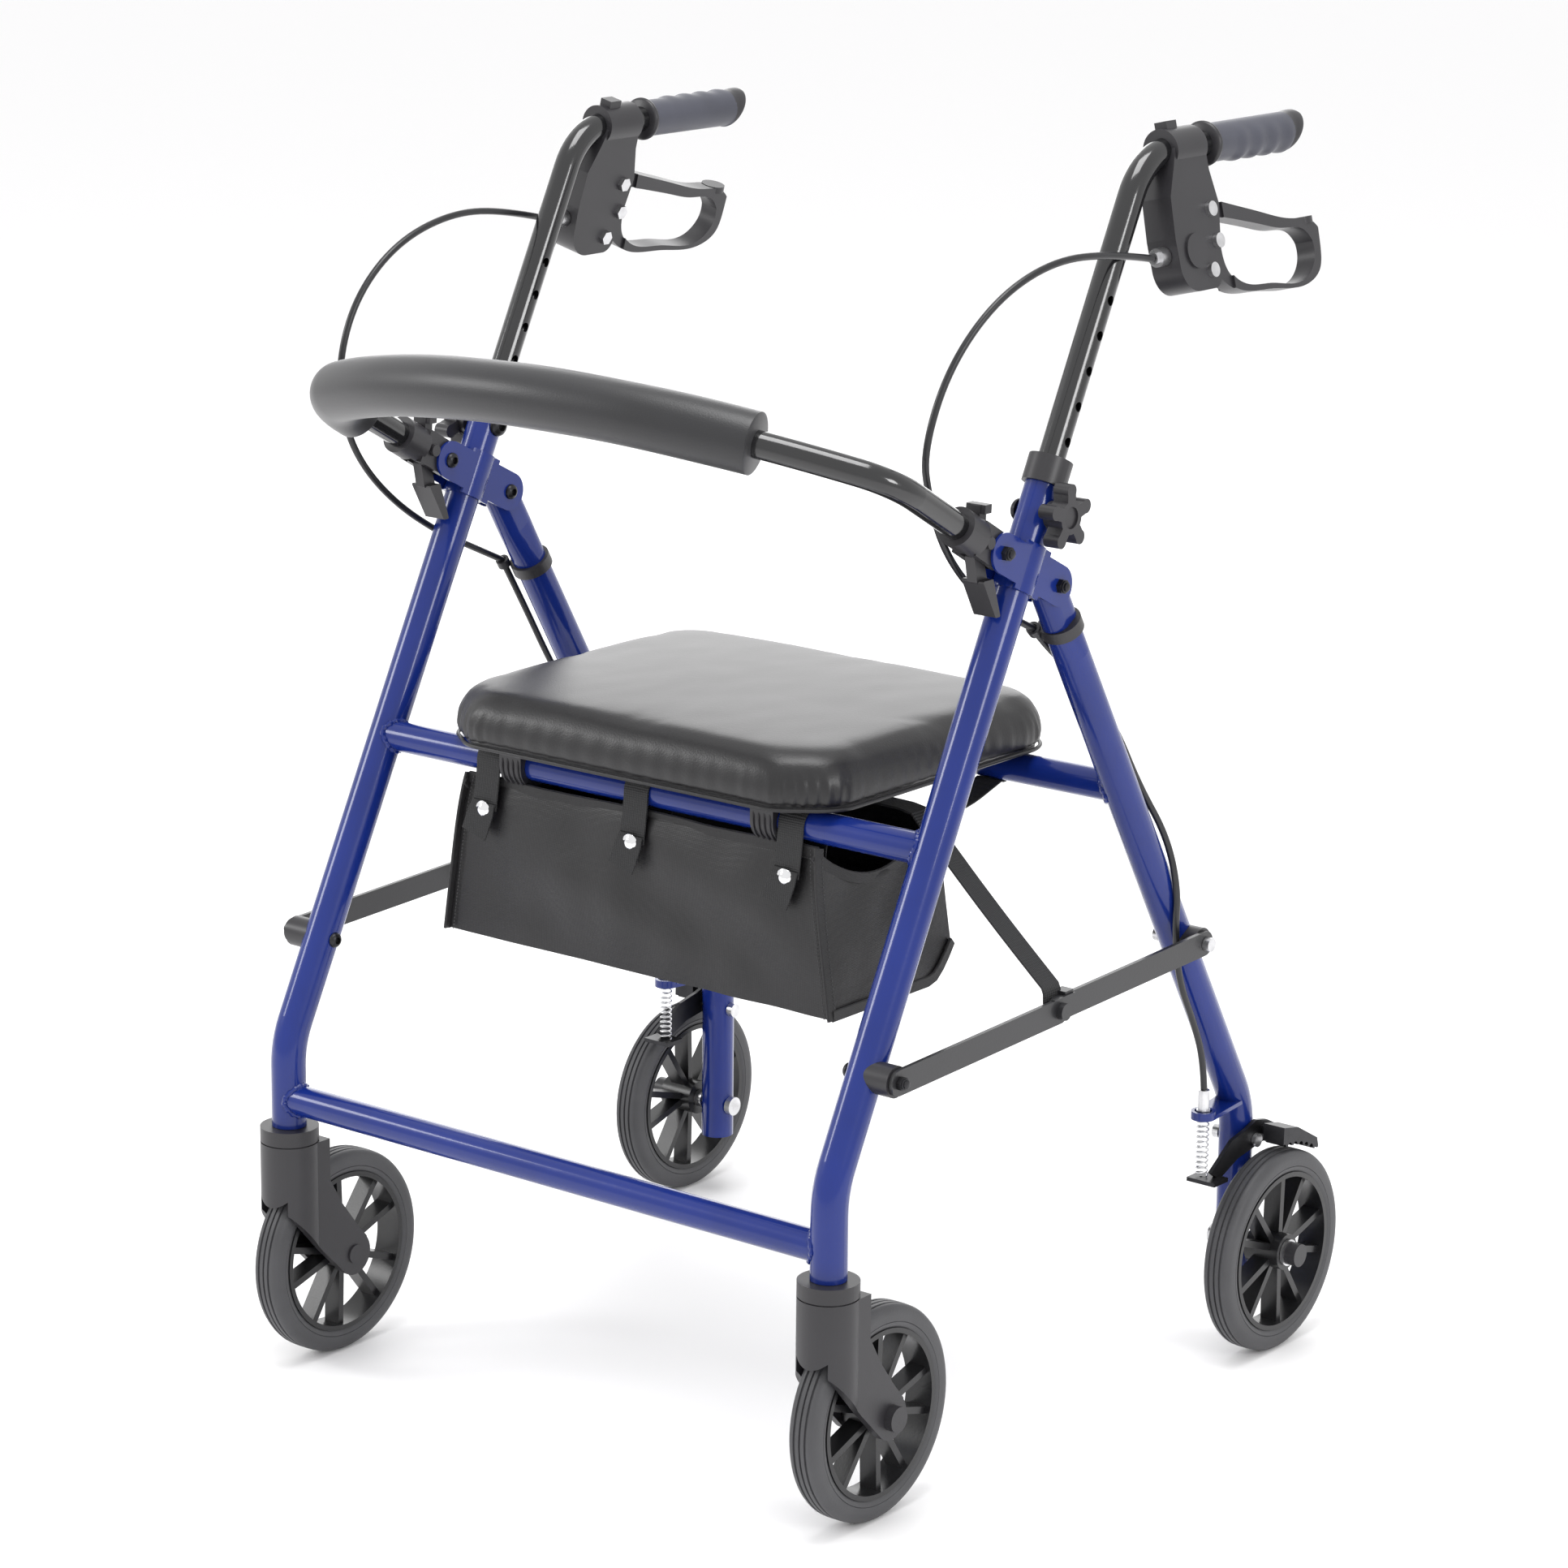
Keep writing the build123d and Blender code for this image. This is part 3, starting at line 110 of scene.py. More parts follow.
def lamp(name, place, size, power):
    """A soft square lamp at place, facing the middle of the walker."""
    light = bpy.data.lights.new(name, "AREA")
    light.shape = "SQUARE"
    light.size = size
    light.energy = power
    obj = bpy.data.objects.new(name, light)
    obj.location = place
    obj.rotation_euler = (Vector((0, 0, 0.5)) - Vector(place)).to_track_quat("-Z", "Y").to_euler()
    obj.visible_camera = False
    bpy.context.collection.objects.link(obj)


lamp("lamp_above", (0.2, -0.4, 3.4), 1.6, 55)
lamp("lamp_left", (-2.6, -2.0, 1.8), 0.9, 26)
lamp("lamp_right", (2.9, -0.6, 1.6), 0.8, 20)
lamp("lamp_behind", (-2.1, 2.7, 1.5), 2.2, 24)

# ---------------------------------------------------------------- brake cables
# Two black plastic-sleeved bowden cables, 5 mm thick. Each leaves the adjuster on its
# brake housing in a free loop, is tied to the rear leg and ends in the brake's ferrule.
metre = 0.001
cable_radius = 0.0025
route_upper_left = [
    (264.7, 52.3, 830.1), (263, 10, 838), (257, -52, 840), (247, -104, 818), (236, -140, 775), (230, -157, 722),
    (229.5, -149, 690), (229.5, -133, 655), (229.5, -104, 624), (230.5, -68, 600), (234, -33.6, 583.8),
]
route_lower_left = [
    (234, -33.6, 583.8), (229, -2.4, 559), (237, 28, 537), (247.5, 50.9, 498.5), (249.5, 77.9, 453.5),
    (257.5, 103, 413), (264.5, 109, 374), (260.5, 113, 341), (256.5, 126, 300), (255, 150, 262),
    (255, 163.5, 232), (255, 166, 208.3),
]
route_upper_right = [
    (-264.7, 40.8, 807.5), (-265, -6, 819), (-266.5, -64, 824), (-270, -121, 808), (-273.5, -161, 773),
    (-275, -179, 727), (-275, -174, 682), (-272.5, -157, 648), (-270, -124, 616), (-266, -84, 590),
    (-264, -52, 575), (-262.5, -18.5, 559.5),
]
route_lower_right = [
    (-262.5, -18.5, 559.5), (-264, 8, 520), (-265, 38, 472), (-265, 72, 424), (-265, 104, 378),
    (-260.5, 113, 341), (-256.5, 126, 300), (-255, 150, 262), (-255, 163.5, 232), (-255, 166, 208.3),
]


def surface(
    name, colour, roughness, metallic=0.0, coat=0.0, sheen=0.0, grain=None, mottle=None, threads=None
):
    """A procedural finish. grain is (size, depth) of a fine bump, mottle is (size, share) of a
    change in tone and gloss, threads is (pitch, depth) of a plain weave; sizes in metres."""
    material = bpy.data.materials.new(name)
    material.use_nodes = True
    nodes = material.node_tree.nodes
    links = material.node_tree.links
    shader = nodes["Principled BSDF"]
    shader.inputs["Base Color"].default_value = (*colour, 1)
    shader.inputs["Roughness"].default_value = roughness
    shader.inputs["Metallic"].default_value = metallic
    shader.inputs["Coat Weight"].default_value = coat
    shader.inputs["Coat Roughness"].default_value = 0.06
    shader.inputs["Sheen Weight"].default_value = sheen
    shader.inputs["Sheen Roughness"].default_value = 0.4
    place = nodes.new("ShaderNodeTexCoord")
    normal = None
    if mottle:
        size, share = mottle
        cloud = nodes.new("ShaderNodeTexNoise")
        cloud.inputs["Scale"].default_value = 1 / size
        cloud.inputs["Detail"].default_value = 4
        links.new(place.outputs["Object"], cloud.inputs["Vector"])
        tone = nodes.new("ShaderNodeValToRGB")
        tone.color_ramp.elements[0].position = 0.3
        tone.color_ramp.elements[1].position = 0.7
        tone.color_ramp.elements[0].color = (*[c * (1 - share) for c in colour], 1)
        tone.color_ramp.elements[1].color = (*[min(1, c * (1 + share)) for c in colour], 1)
        links.new(cloud.outputs["Fac"], tone.inputs["Fac"])
        links.new(tone.outputs["Color"], shader.inputs["Base Color"])
        gloss = nodes.new("ShaderNodeMapRange")
        gloss.inputs["To Min"].default_value = roughness * (1 - share / 2)
        gloss.inputs["To Max"].default_value = roughness * (1 + share / 2)
        links.new(cloud.outputs["Fac"], gloss.inputs["Value"])
        links.new(gloss.outputs["Result"], shader.inputs["Roughness"])
    if threads:
        pitch, depth = threads
        weave = None
        for direction in ("X", "Y", "Z"):
            band = nodes.new("ShaderNodeTexWave")
            band.wave_type = "BANDS"
            band.bands_direction = direction
            band.inputs["Scale"].default_value = 0.314 / pitch
            band.inputs["Distortion"].default_value = 0.6
            band.inputs["Detail"].default_value = 1
            links.new(place.outputs["Object"], band.inputs["Vector"])
            if weave is None:
                weave = band.outputs["Fac"]
            else:
                cross = nodes.new("ShaderNodeMath")
                cross.operation = "ADD"
                links.new(weave, cross.inputs[0])
                links.new(band.outputs["Fac"], cross.inputs[1])
                weave = cross.outputs["Value"]
        bump = nodes.new("ShaderNodeBump")
        bump.inputs["Distance"].default_value = depth
        bump.inputs["Strength"].default_value = 0.6
        links.new(weave, bump.inputs["Height"])
        normal = bump.outputs["Normal"]
    if grain:
        size, depth = grain
        speck = nodes.new("ShaderNodeTexNoise")
        speck.inputs["Scale"].default_value = 1 / size
        speck.inputs["Detail"].default_value = 3
        links.new(place.outputs["Object"], speck.inputs["Vector"])
        bump = nodes.new("ShaderNodeBump")
        bump.inputs["Distance"].default_value = depth
        bump.inputs["Strength"].default_value = 0.5
        links.new(speck.outputs["Fac"], bump.inputs["Height"])
        if normal:
            links.new(normal, bump.inputs["Normal"])
        normal = bump.outputs["Normal"]
    if normal:
        links.new(normal, shader.inputs["Normal"])
    return material


def mesh_piece(name, corners, faces, material, slot, sharp=35):
    """A mesh from corner points and faces, smooth except at edges sharper than sharp degrees."""
    mesh = bpy.data.meshes.new(name)
    mesh.from_pydata([tuple(c) for c in corners], [], faces)
    work = bmesh.new()
    work.from_mesh(mesh)
    bmesh.ops.remove_doubles(work, verts=work.verts, dist=1e-6)
    bmesh.ops.recalc_face_normals(work, faces=work.faces)
    work.to_mesh(mesh)
    work.free()
    mesh.shade_smooth()
    mesh.set_sharp_from_angle(angle=radians(sharp))
    mesh.materials.append(material)
    obj = bpy.data.objects.new(name, mesh)
    bpy.context.collection.objects.link(obj)
    return obj


def sweep_loops(path, outline, side=None):
    """Corners and faces of an outline, a list of (a, b), carried along a path of points. side is a
    fixed direction for a; without it the outline turns with the path. The ends are capped."""
    path = [Vector(p) for p in path]
    loops = []
    lead = None
    for k, point in enumerate(path):
        way = (path[min(k + 1, len(path) - 1)] - path[max(k - 1, 0)]).normalized()
        if side is not None:
            lead = Vector(side)
        elif lead is None:
            lead = Vector((0, 0, 1)) if abs(way.z) < 0.8 else Vector((1, 0, 0))
        lead = (lead - way * lead.dot(way)).normalized()
        other = way.cross(lead)
        shape = outline(k / (len(path) - 1)) if callable(outline) else outline
        loops.append([point + lead * a + other * b for a, b in shape])
    count = len(loops[0])
    corners = [c for loop in loops for c in loop]
    faces = []
    for k in range(len(loops) - 1):
        for j in range(count):
            n = (j + 1) % count
            faces.append((k * count + j, k * count + n, (k + 1) * count + n, (k + 1) * count + j))
    faces.append(tuple(range(count)))
    faces.append(tuple(range((len(loops) - 1) * count, len(loops) * count)))
    return corners, faces


def joined(parts):
    """Several (corners, faces) put together."""
    corners, faces = [], []
    for more_corners, more_faces in parts:
        start = len(corners)
        corners += more_corners
        faces += [tuple(start + i for i in face) for face in more_faces]
    return corners, faces


def ring_outline(radius, sides=16):
    """A round outline of the given radius, for sweep_loops."""
    return [(radius * cos(2 * pi * k / sides), radius * sin(2 * pi * k / sides)) for k in range(sides)]


def smooth_route(points):
    """The smooth line of a cable through the given route, as points in metres."""
    curve = bpy.data.curves.new("route", "CURVE")
    curve.dimensions = "3D"
    curve.resolution_u = 8
    spline = curve.splines.new("NURBS")
    spline.points.add(len(points) - 1)
    for control, point in zip(spline.points, points):
        control.co = (*[metre * c for c in point], 1)
    spline.order_u = 3
    spline.use_endpoint_u = True
    holder = bpy.data.objects.new("route", curve)
    bpy.context.collection.objects.link(holder)
    line = bpy.data.meshes.new_from_object(holder)
    path = [v.co.copy() for v in line.vertices]
    bpy.data.objects.remove(holder)
    bpy.data.curves.remove(curve)
    bpy.data.meshes.remove(line)
    return path


cable_skin = surface("cable_sleeve", (0.012, 0.012, 0.014), 0.32, grain=(0.0008, 0.0001), mottle=(0.02, 0.2))
for hand, upper, lower in (
    ("left", route_upper_left, route_lower_left), ("right", route_upper_right, route_lower_right)
):
    loop = smooth_route(upper)
    lowest = min(range(len(loop)), key=lambda k: loop[k].y)
    top_mesh = sweep_loops(loop[: lowest + 1], ring_outline(cable_radius))
    top = mesh_piece(f"cable_loop_{hand}", *top_mesh, cable_skin, "cable_sleeve")
    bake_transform(top)
    tail_mesh = sweep_loops(loop[lowest:], ring_outline(cable_radius))
    tail = mesh_piece(f"cable_tail_{hand}", *tail_mesh, cable_skin, "cable_sleeve")
    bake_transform(tail)
    run_mesh = sweep_loops(smooth_route(lower), ring_outline(cable_radius))
    run = mesh_piece(f"cable_run_{hand}", *run_mesh, cable_skin, "cable_sleeve")
    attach(run, "rear_frame")
    if hand == "left":
        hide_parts("upper_cables")
        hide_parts("lower_cables")

# ---------------------------------------------------------------- wheels
# Four 6 inch wheels: a solid grey-black rubber tyre with three grooves round its tread,
# on a black moulded rim with spokes in pairs.
wheel_radius = 0.0762
leg_x = 0.2475
rear_wheel_x = 0.2817
axle_y = 0.2225


def lathe(centre, axis, profile, steps=64, turn=0.0):
    """Corners and faces of a closed profile of (radius, distance along axis) turned about axis."""
    axis = Vector(axis).normalized()
    first = axis.orthogonal().normalized()
    second = axis.cross(first)
    centre = Vector(centre)
    corners, faces = [], []
    count = len(profile)
    for k in range(steps):
        angle = 2 * pi * k / steps + turn
        out = first * cos(angle) + second * sin(angle)
        corners += [centre + out * r + axis * a for r, a in profile]
    for k in range(steps):
        n = (k + 1) % steps
        for j in range(count):
            m = (j + 1) % count
            faces.append((k * count + j, k * count + m, n * count + m, n * count + j))
    return corners, faces


def tread_profile():
    """Half-round shoulders, a crown with three grooves and a thin line on each side wall."""
    half = [(0.0600, 0.0098), (0.0622, 0.0110), (0.0640, 0.0114), (0.0643, 0.0110), (0.0646, 0.0114),
            (0.0690, 0.0115), (0.0715, 0.0112), (0.0735, 0.0104), (0.0750, 0.0091), (0.0759, 0.0074),
            (0.0761, 0.0056), (0.0750, 0.0052), (0.0750, 0.0040), (0.07618, 0.0036), (0.0762, 0.0008),
            (0.0750, 0.0005)]
    return half + [(r, -a) for r, a in reversed(half)]


tyre_rubber = surface("tyre_rubber", (0.050, 0.050, 0.054), 0.5, grain=(0.0012, 0.00025), mottle=(0.03, 0.12))
rim_plastic = surface("rim_plastic", (0.008, 0.008, 0.009), 0.3, grain=(0.0015, 0.0001), mottle=(0.02, 0.15))
for side, hand in ((1, "left"), (-1, "right")):
    for end, x, y, body in (
        ("front", side * leg_x, -axle_y, f"front_wheel_{hand}"),
        ("rear", side * rear_wheel_x, axle_y, f"rear_wheel_{hand}"),
    ):
        tyre = mesh_piece(
            f"solid_tyre_{end}_{hand}", *lathe((x, y, wheel_radius), (1, 0, 0), tread_profile(), 96),
            tyre_rubber, "tyre_rubber", sharp=50,
        )
        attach(tyre, body)
        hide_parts(f"tyre_{end}_{hand}")


def dress(node, material, round_edges=0.0006, angle=40):
    """Gives a CAD node its finish, and breaks its edges."""
    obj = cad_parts[node]
    obj.data.materials.clear()
    obj.data.materials.append(material)
    if round_edges:
        edge = obj.modifiers.new("edges", "BEVEL")
        edge.width = round_edges
        edge.segments = 2
        edge.limit_method = "ANGLE"
        edge.angle_limit = radians(angle)
        edge.harden_normals = True
    return obj


for end in ("front", "rear"):
    for hand in ("left", "right"):
        dress(f"rim_{end}_{hand}", rim_plastic, 0.0007)

# ---------------------------------------------------------------- casters
# Moulded forks in dark grey plastic. The crown turns under the front leg, and the arms
# reach back to the axle, which is closed by a round cap.
fork_plastic = surface(
    "fork_plastic", (0.021, 0.020, 0.023), 0.42, grain=(0.0009, 0.00012), mottle=(0.05, 0.1)
)
for hand in ("left", "right"):
    dress(f"caster_fork_{hand}", fork_plastic, 0.001)

# ---------------------------------------------------------------- painted frame
# Legs, cross tubes, hinge brackets and cable tabs are steel in gloss royal blue powder
# paint over weld beads; each cross tube is coped to its legs and welded all round.
blue_paint = surface(
    "blue_paint", (0.005, 0.019, 0.165), 0.24, coat=0.5, grain=(0.004, 0.00012), mottle=(0.06, 0.1)
)
blue_paint.node_tree.nodes["Principled BSDF"].inputs["Specular IOR Level"].default_value = 0.2
for node in (
    "front_leg_left", "front_leg_right", "front_lower_tube", "front_seat_tube",
    "rear_leg_left", "rear_leg_right", "rear_seat_tube", "brake_cable_tabs",
):
    dress(node, blue_paint, 0.0)
dress("hinge_brackets", blue_paint, 0.0005)
leg_radius = 0.0127
bead_circle = 0.0112
weld_steps, weld_sides = 72, 8


def weld(side, y, z, leg_lean):
    """A lumpy bead where a 22 mm cross tube along X meets a leg that leans in the YZ plane."""
    path = []
    for k in range(weld_steps):
        angle = 2 * pi * k / weld_steps
        dy, dz = bead_circle * cos(angle), bead_circle * sin(angle)
        offset = dy * cos(leg_lean) - dz * sin(leg_lean)
        reach = sqrt(leg_radius**2 - min(offset**2, leg_radius**2 * 0.98))
        path.append(Vector((side * (leg_x - reach), y + dy, z + dz)))
    corners, faces = [], []
    for k, point in enumerate(path):
        way = (path[(k + 1) % weld_steps] - path[k - 1]).normalized()
        out = Vector((0, point.y - y, point.z - z)).normalized()
        other = way.cross(out)
        size = 0.0019 + 0.0004 * sin(k * 2 * pi / 4.5) + 0.0003 * noise.noise(point * 400)
        for a, b in ring_outline(size, weld_sides):
            corners.append(point + out * a + other * b)
    for k in range(weld_steps):
        n = (k + 1) % weld_steps
        for j in range(weld_sides):
            m = (j + 1) % weld_sides
            faces.append((
                k * weld_sides + j, k * weld_sides + m, n * weld_sides + m, n * weld_sides + j,
            ))
    return corners, faces


front_lean = radians(27)
rear_lean = radians(-31)
lower_tube = Vector((0, -0.2690, 0.2047))
seat_tube = Vector((0, -0.16218, 0.4556))
rear_tube = Vector((0, 0.05818, 0.4556))
front_beads, rear_beads = [], []
for side in (1, -1):
    front_beads.append(weld(side, lower_tube.y, lower_tube.z, 0.0))
    front_beads.append(weld(side, seat_tube.y, seat_tube.z, front_lean))
    rear_beads.append(weld(side, rear_tube.y, rear_tube.z, rear_lean))
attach(mesh_piece("weld_beads_front", *joined(front_beads), blue_paint, "frame_paint"), "front_frame")
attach(mesh_piece("weld_beads_rear", *joined(rear_beads), blue_paint, "frame_paint"), "rear_frame")

# ---------------------------------------------------------------- bolts, nuts and small hardware
# Blackened button-head bolts with a hex socket hold the hinges and braces from inside,
# with lock nuts outside. The brake parts are zinc plated.
black_steel = surface(
    "black_steel", (0.03, 0.03, 0.033), 0.35, metallic=0.8, grain=(0.001, 0.0001), mottle=(0.01, 0.2)
)
zinc = surface("zinc", (0.62, 0.62, 0.63), 0.28, metallic=1.0, grain=(0.0006, 0.00008), mottle=(0.008, 0.15))
chrome = surface("chrome", (0.82, 0.82, 0.83), 0.08, metallic=1.0, grain=(0.003, 0.00003), mottle=(0.02, 0.05))
black_plastic = surface(
    "black_plastic", (0.021, 0.020, 0.023), 0.38, grain=(0.0008, 0.0001), mottle=(0.04, 0.12)
)


def button_head(place, way, radius, height):
    """A domed head with a hex socket, standing from place along way."""
    profile = [(0.0001, 0), (radius, 0), (radius, height * 0.25), (radius * 0.93, height * 0.55),
               (radius * 0.74, height * 0.85), (radius * 0.5, height), (radius * 0.47, height * 0.96),
               (radius * 0.44, height * 0.3), (0.0001, height * 0.28)]
    return lathe(place, way, profile, 24)


def lock_nut(place, way, radius, height, thread=0.003):
    """A six-sided nut with a round collar and the end of its screw."""
    hexagon = [(0.0001, 0), (radius, 0), (radius, height * 0.7), (radius * 0.85, height * 0.74),
               (0.0001, height * 0.74)]
    collar = [(0.0001, height * 0.7), (radius * 0.78, height * 0.7), (radius * 0.78, height * 0.95),
              (radius * 0.66, height), (thread, height), (0.0001, height)]
    screw = [(0.0001, height * 0.9), (thread, height * 0.9), (thread * 0.98, height * 1.25),
             (thread * 0.7, height * 1.35), (0.0001, height * 1.35)]
    return [lathe(place, way, hexagon, 6), lathe(place, way, collar, 24), lathe(place, way, screw, 20)]


def shank(place, way, start, stop, radius=0.003):
    """The plain round stem of a bolt, from start to stop along way."""
    return lathe(place, way, [(0.0001, start), (radius, start), (radius, stop), (0.0001, stop)], 20)


leg_slope = Vector((0, sin(front_lean), cos(front_lean)))
leg_behind = Vector((0, cos(front_lean), -sin(front_lean)))
leg_bend = Vector((0, -0.269, 0.246))


def on_leg(side, s, u=0.0):
    """A point s up a front leg from its bend, and u behind its middle line."""
    return Vector((side * leg_x, 0, 0)) + leg_bend + leg_slope * s + leg_behind * u


brace_front = Vector((0, -0.23262, 0.3174))
hinge_height, hinge_reach = 0.4355, 0.036
front_hardware = []
for side in (1, -1):
    out = Vector((side, 0, 0))
    for reach in (-hinge_reach, hinge_reach):
        hinge = on_leg(side, hinge_height, reach)
        front_hardware.append(button_head(hinge - out * 0.0122, -out, 0.0056, 0.0036))
        front_hardware += lock_nut(hinge + out * 0.0122, out, 0.0053, 0.0050)
        front_hardware.append(shank(hinge, out, -0.0122, 0.0122))
    knob = on_leg(side, 0.4748)
    front_hardware.append(button_head(knob - out * 0.0122, -out, 0.008, 0.005))
    front_hardware.append(shank(knob, out, -leg_radius, -0.0101))
    low = brace_front + out * leg_x
    front_hardware.append(button_head(low - out * leg_radius, -out, 0.0055, 0.0036))
    front_hardware += lock_nut(low + out * 0.0297, out, 0.0050, 0.0046)
    front_hardware.append(shank(low, out, -leg_radius, 0.0298))
hardware = mesh_piece("front_bolts_and_nuts", *joined(front_hardware), black_steel, "black_bolt")
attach(hardware, "front_frame")
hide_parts("frame_bolts")
dress("rear_axles_and_bolts", zinc, 0.0006)
dress("rear_axle_caps", black_plastic, 0.0015)
dress("leg_collars", black_plastic, 0.0008)
dress("brace_spacers_front", black_plastic, 0.0008)
dress("brace_spacers_rear", black_plastic, 0.0008)
dress("cable_clips", black_plastic, 0.0004)
dress("cable_ferrules", zinc, 0.0004)
spring_x, spring_y, spring_low, spring_high = 0.255, 0.166, 0.1414, 0.1857
spring_turns, coil_radius, wire_radius = 11, 0.0043, 0.0006
for side, hand in ((1, "left"), (-1, "right")):
    dress(f"brake_arm_{hand}", black_steel, 0.0006)
    coil = []
    for k in range(spring_turns * 20 + 1):
        turn = 2 * pi * k / 20
        coil.append(Vector((
            side * spring_x + coil_radius * cos(turn), spring_y + coil_radius * sin(turn),
            spring_low + wire_radius + (spring_high - spring_low - 2 * wire_radius) * k / (spring_turns * 20),
        )))
    coil_mesh = sweep_loops(coil, ring_outline(wire_radius, 8))
    spring = mesh_piece(f"return_spring_{hand}", *coil_mesh, zinc, "zinc")
    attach(spring, "rear_frame")
    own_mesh(spring)
    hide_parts("brake_springs")
    dress(f"star_knob_{hand}", black_plastic, 0.0016)

# ---------------------------------------------------------------- folding braces
# Flat steel strips, painted satin black, hinged in the middle, with a bent tab on the
# front one that stops both in line.
black_strip = surface(
    "black_strip", (0.015, 0.015, 0.017), 0.42, coat=0.2, grain=(0.002, 0.00012), mottle=(0.05, 0.15)
)
for hand in ("left", "right"):
    dress(f"brace_front_{hand}", black_strip, 0.0005)
    dress(f"brace_rear_{hand}", black_strip, 0.0005)

# ---------------------------------------------------------------- handles and brakes
# Black gloss tubes with a row of height holes. Each carries a rubber grip with finger
# ridges, and a moulded housing with a looped hand lever pinned in it.
black_gloss = surface(
    "black_gloss", (0.006, 0.006, 0.007), 0.16, coat=0.6, grain=(0.003, 0.0001), mottle=(0.05, 0.1)
)
grip_rubber = surface("grip_rubber", (0.050, 0.052, 0.070), 0.46, grain=(0.0007, 0.00015), mottle=(0.03, 0.12))
start, stop, grip_radius = 0.1335, 0.250, 0.0142
first_ridge, last_ridge, ridge_pitch = 0.158, 0.2365, 0.0195
stations, ring = 96, 48
for side, hand, drop in ((1, "left", 0.0), (-1, "right", -0.0254)):
    dress(f"handle_tube_{hand}", black_gloss, 0.0003, 50)
    dress(f"brake_housing_{hand}", black_plastic, 0.0012)
    dress(f"brake_lever_{hand}", black_plastic, 0.0016)
    dress(f"brake_hardware_{hand}", zinc, 0.0005)
    axis = Vector((side * leg_x, drop * leg_slope.y, 0.899 + drop * leg_slope.z))
    loops = []
    for k in range(stations + 1):
        along = start + (stop - start) * k / stations
        flange = max(0.0, 1 - ((along - start - 0.0022) / 0.0024) ** 4) if along < start + 0.0046 else 0.0
        flare = 1 / (1 + exp(-(along - 0.2395) / 0.0016))
        close = max(0.0, (along - 0.2462) / 0.0038)
        loop = []
        for j in range(ring):
            turn = 2 * pi * j / ring
            outside = max(0.0, cos(turn - side * radians(-35)))
            wave = 0.5 - 0.5 * cos(2 * pi * (along - first_ridge) / ridge_pitch)
            ridge = 0.0021 * wave * outside**1.5 if first_ridge < along < last_ridge else 0.0
            r = grip_radius - 0.0006 + ridge + 0.0023 * flange + 0.0008 * flare
            r -= 0.0030 * close**2
            height = r * sin(turn)
            slant = 0.019 * min(1.0, max(0.0, (0.012 - height) / 0.028))
            reach = along - slant * max(0.0, (along - 0.228) / 0.022)
            loop.append(axis + Vector((r * cos(turn) * side, reach, height)))
        loops.append(loop)
    corners = [c for loop in loops for c in loop]
    faces = []
    for k in range(stations):
        for j in range(ring):
            n = (j + 1) % ring
            faces.append((k * ring + j, k * ring + n, (k + 1) * ring + n, (k + 1) * ring + j))
    faces += [tuple(range(ring)), tuple(range(stations * ring, (stations + 1) * ring))]
    grip = mesh_piece(f"ridged_grip_{hand}", corners, faces, grip_rubber, "grip_rubber", sharp=60)
    grip.data.materials.append(black_plastic)
    for face in grip.data.polygons:
        if face.center.y > axis.y + 0.2325 or face.center.y < axis.y + 0.1378:
            face.material_index = 1
    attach(grip, f"handle_{hand}")
    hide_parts(f"grip_{hand}")

# ---------------------------------------------------------------- backrest
# A bent black tube hinged in front of the legs, with a foam sleeve pushed over most of
# it. Moulded sockets hold its ends, with a release lever pinned in each.
rise = radians(29.5)
back_pivot = on_leg(1, hinge_height, -hinge_reach)
back_out = Vector((0, -cos(rise), sin(rise)))
arc_radius, corner_radius, spread = 0.478, 0.040, radians(28.5)
arc_centre = 0.195 - arc_radius
corner_x = (arc_radius - corner_radius) * sin(spread)
corner_t = arc_centre + (arc_radius - corner_radius) * cos(spread)


def back_point(x, t):
    """A point x across and t out from the hinges in the plane of the backrest."""
    return Vector((x, back_pivot.y, back_pivot.z)) + back_out * t


foam_path = [back_point(-corner_x - corner_radius, 0.095 + 0.00115 * k) for k in range(6)]
for k in range(1, 25):
    turn = (pi / 2 - spread) * k / 24
    foam_path.append(back_point(-corner_x - corner_radius * cos(turn), corner_t + corner_radius * sin(turn)))
end_turn = asin(0.163 / arc_radius)
for k in range(1, 121):
    turn = -spread + (spread + end_turn) * k / 120
    foam_path.append(back_point(arc_radius * sin(turn), arc_centre + arc_radius * cos(turn)))


foam_radius = 0.0214


def foam_outline(share):
    """Rounded at both ends, and not quite even along its length."""
    edge = min(share, 1 - share) * 0.5
    soft = 1 - max(0.0, 1 - edge / 0.0035) ** 2 * 0.09
    wide = 1 + 0.006 * sin(9 * share * pi + 1.3)
    deep = 1 + 0.006 * sin(13 * share * pi)
    return [(a * wide, b * deep) for a, b in ring_outline(foam_radius * soft, 40)]


fine_path = [foam_path[0] + (foam_path[1] - foam_path[0]) * k / 4 for k in range(4)] + foam_path[1:-1]
fine_path += [foam_path[-2] + (foam_path[-1] - foam_path[-2]) * k / 4 for k in range(1, 5)]
foam = surface(
    "foam_sleeve", (0.016, 0.016, 0.018), 0.38, sheen=0.15, grain=(0.0011, 0.00022), mottle=(0.05, 0.12)
)
sleeve = mesh_piece("foam_sleeve", *sweep_loops(fine_path, foam_outline), foam, "foam", sharp=60)
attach(sleeve, "backrest")
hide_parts("backrest_pad")
dress("backrest_tube", black_gloss, 0.0)
dress("backrest_sockets", black_plastic, 0.0008)
for hand in ("left", "right"):
    dress(f"release_lever_{hand}", black_plastic, 0.0006)

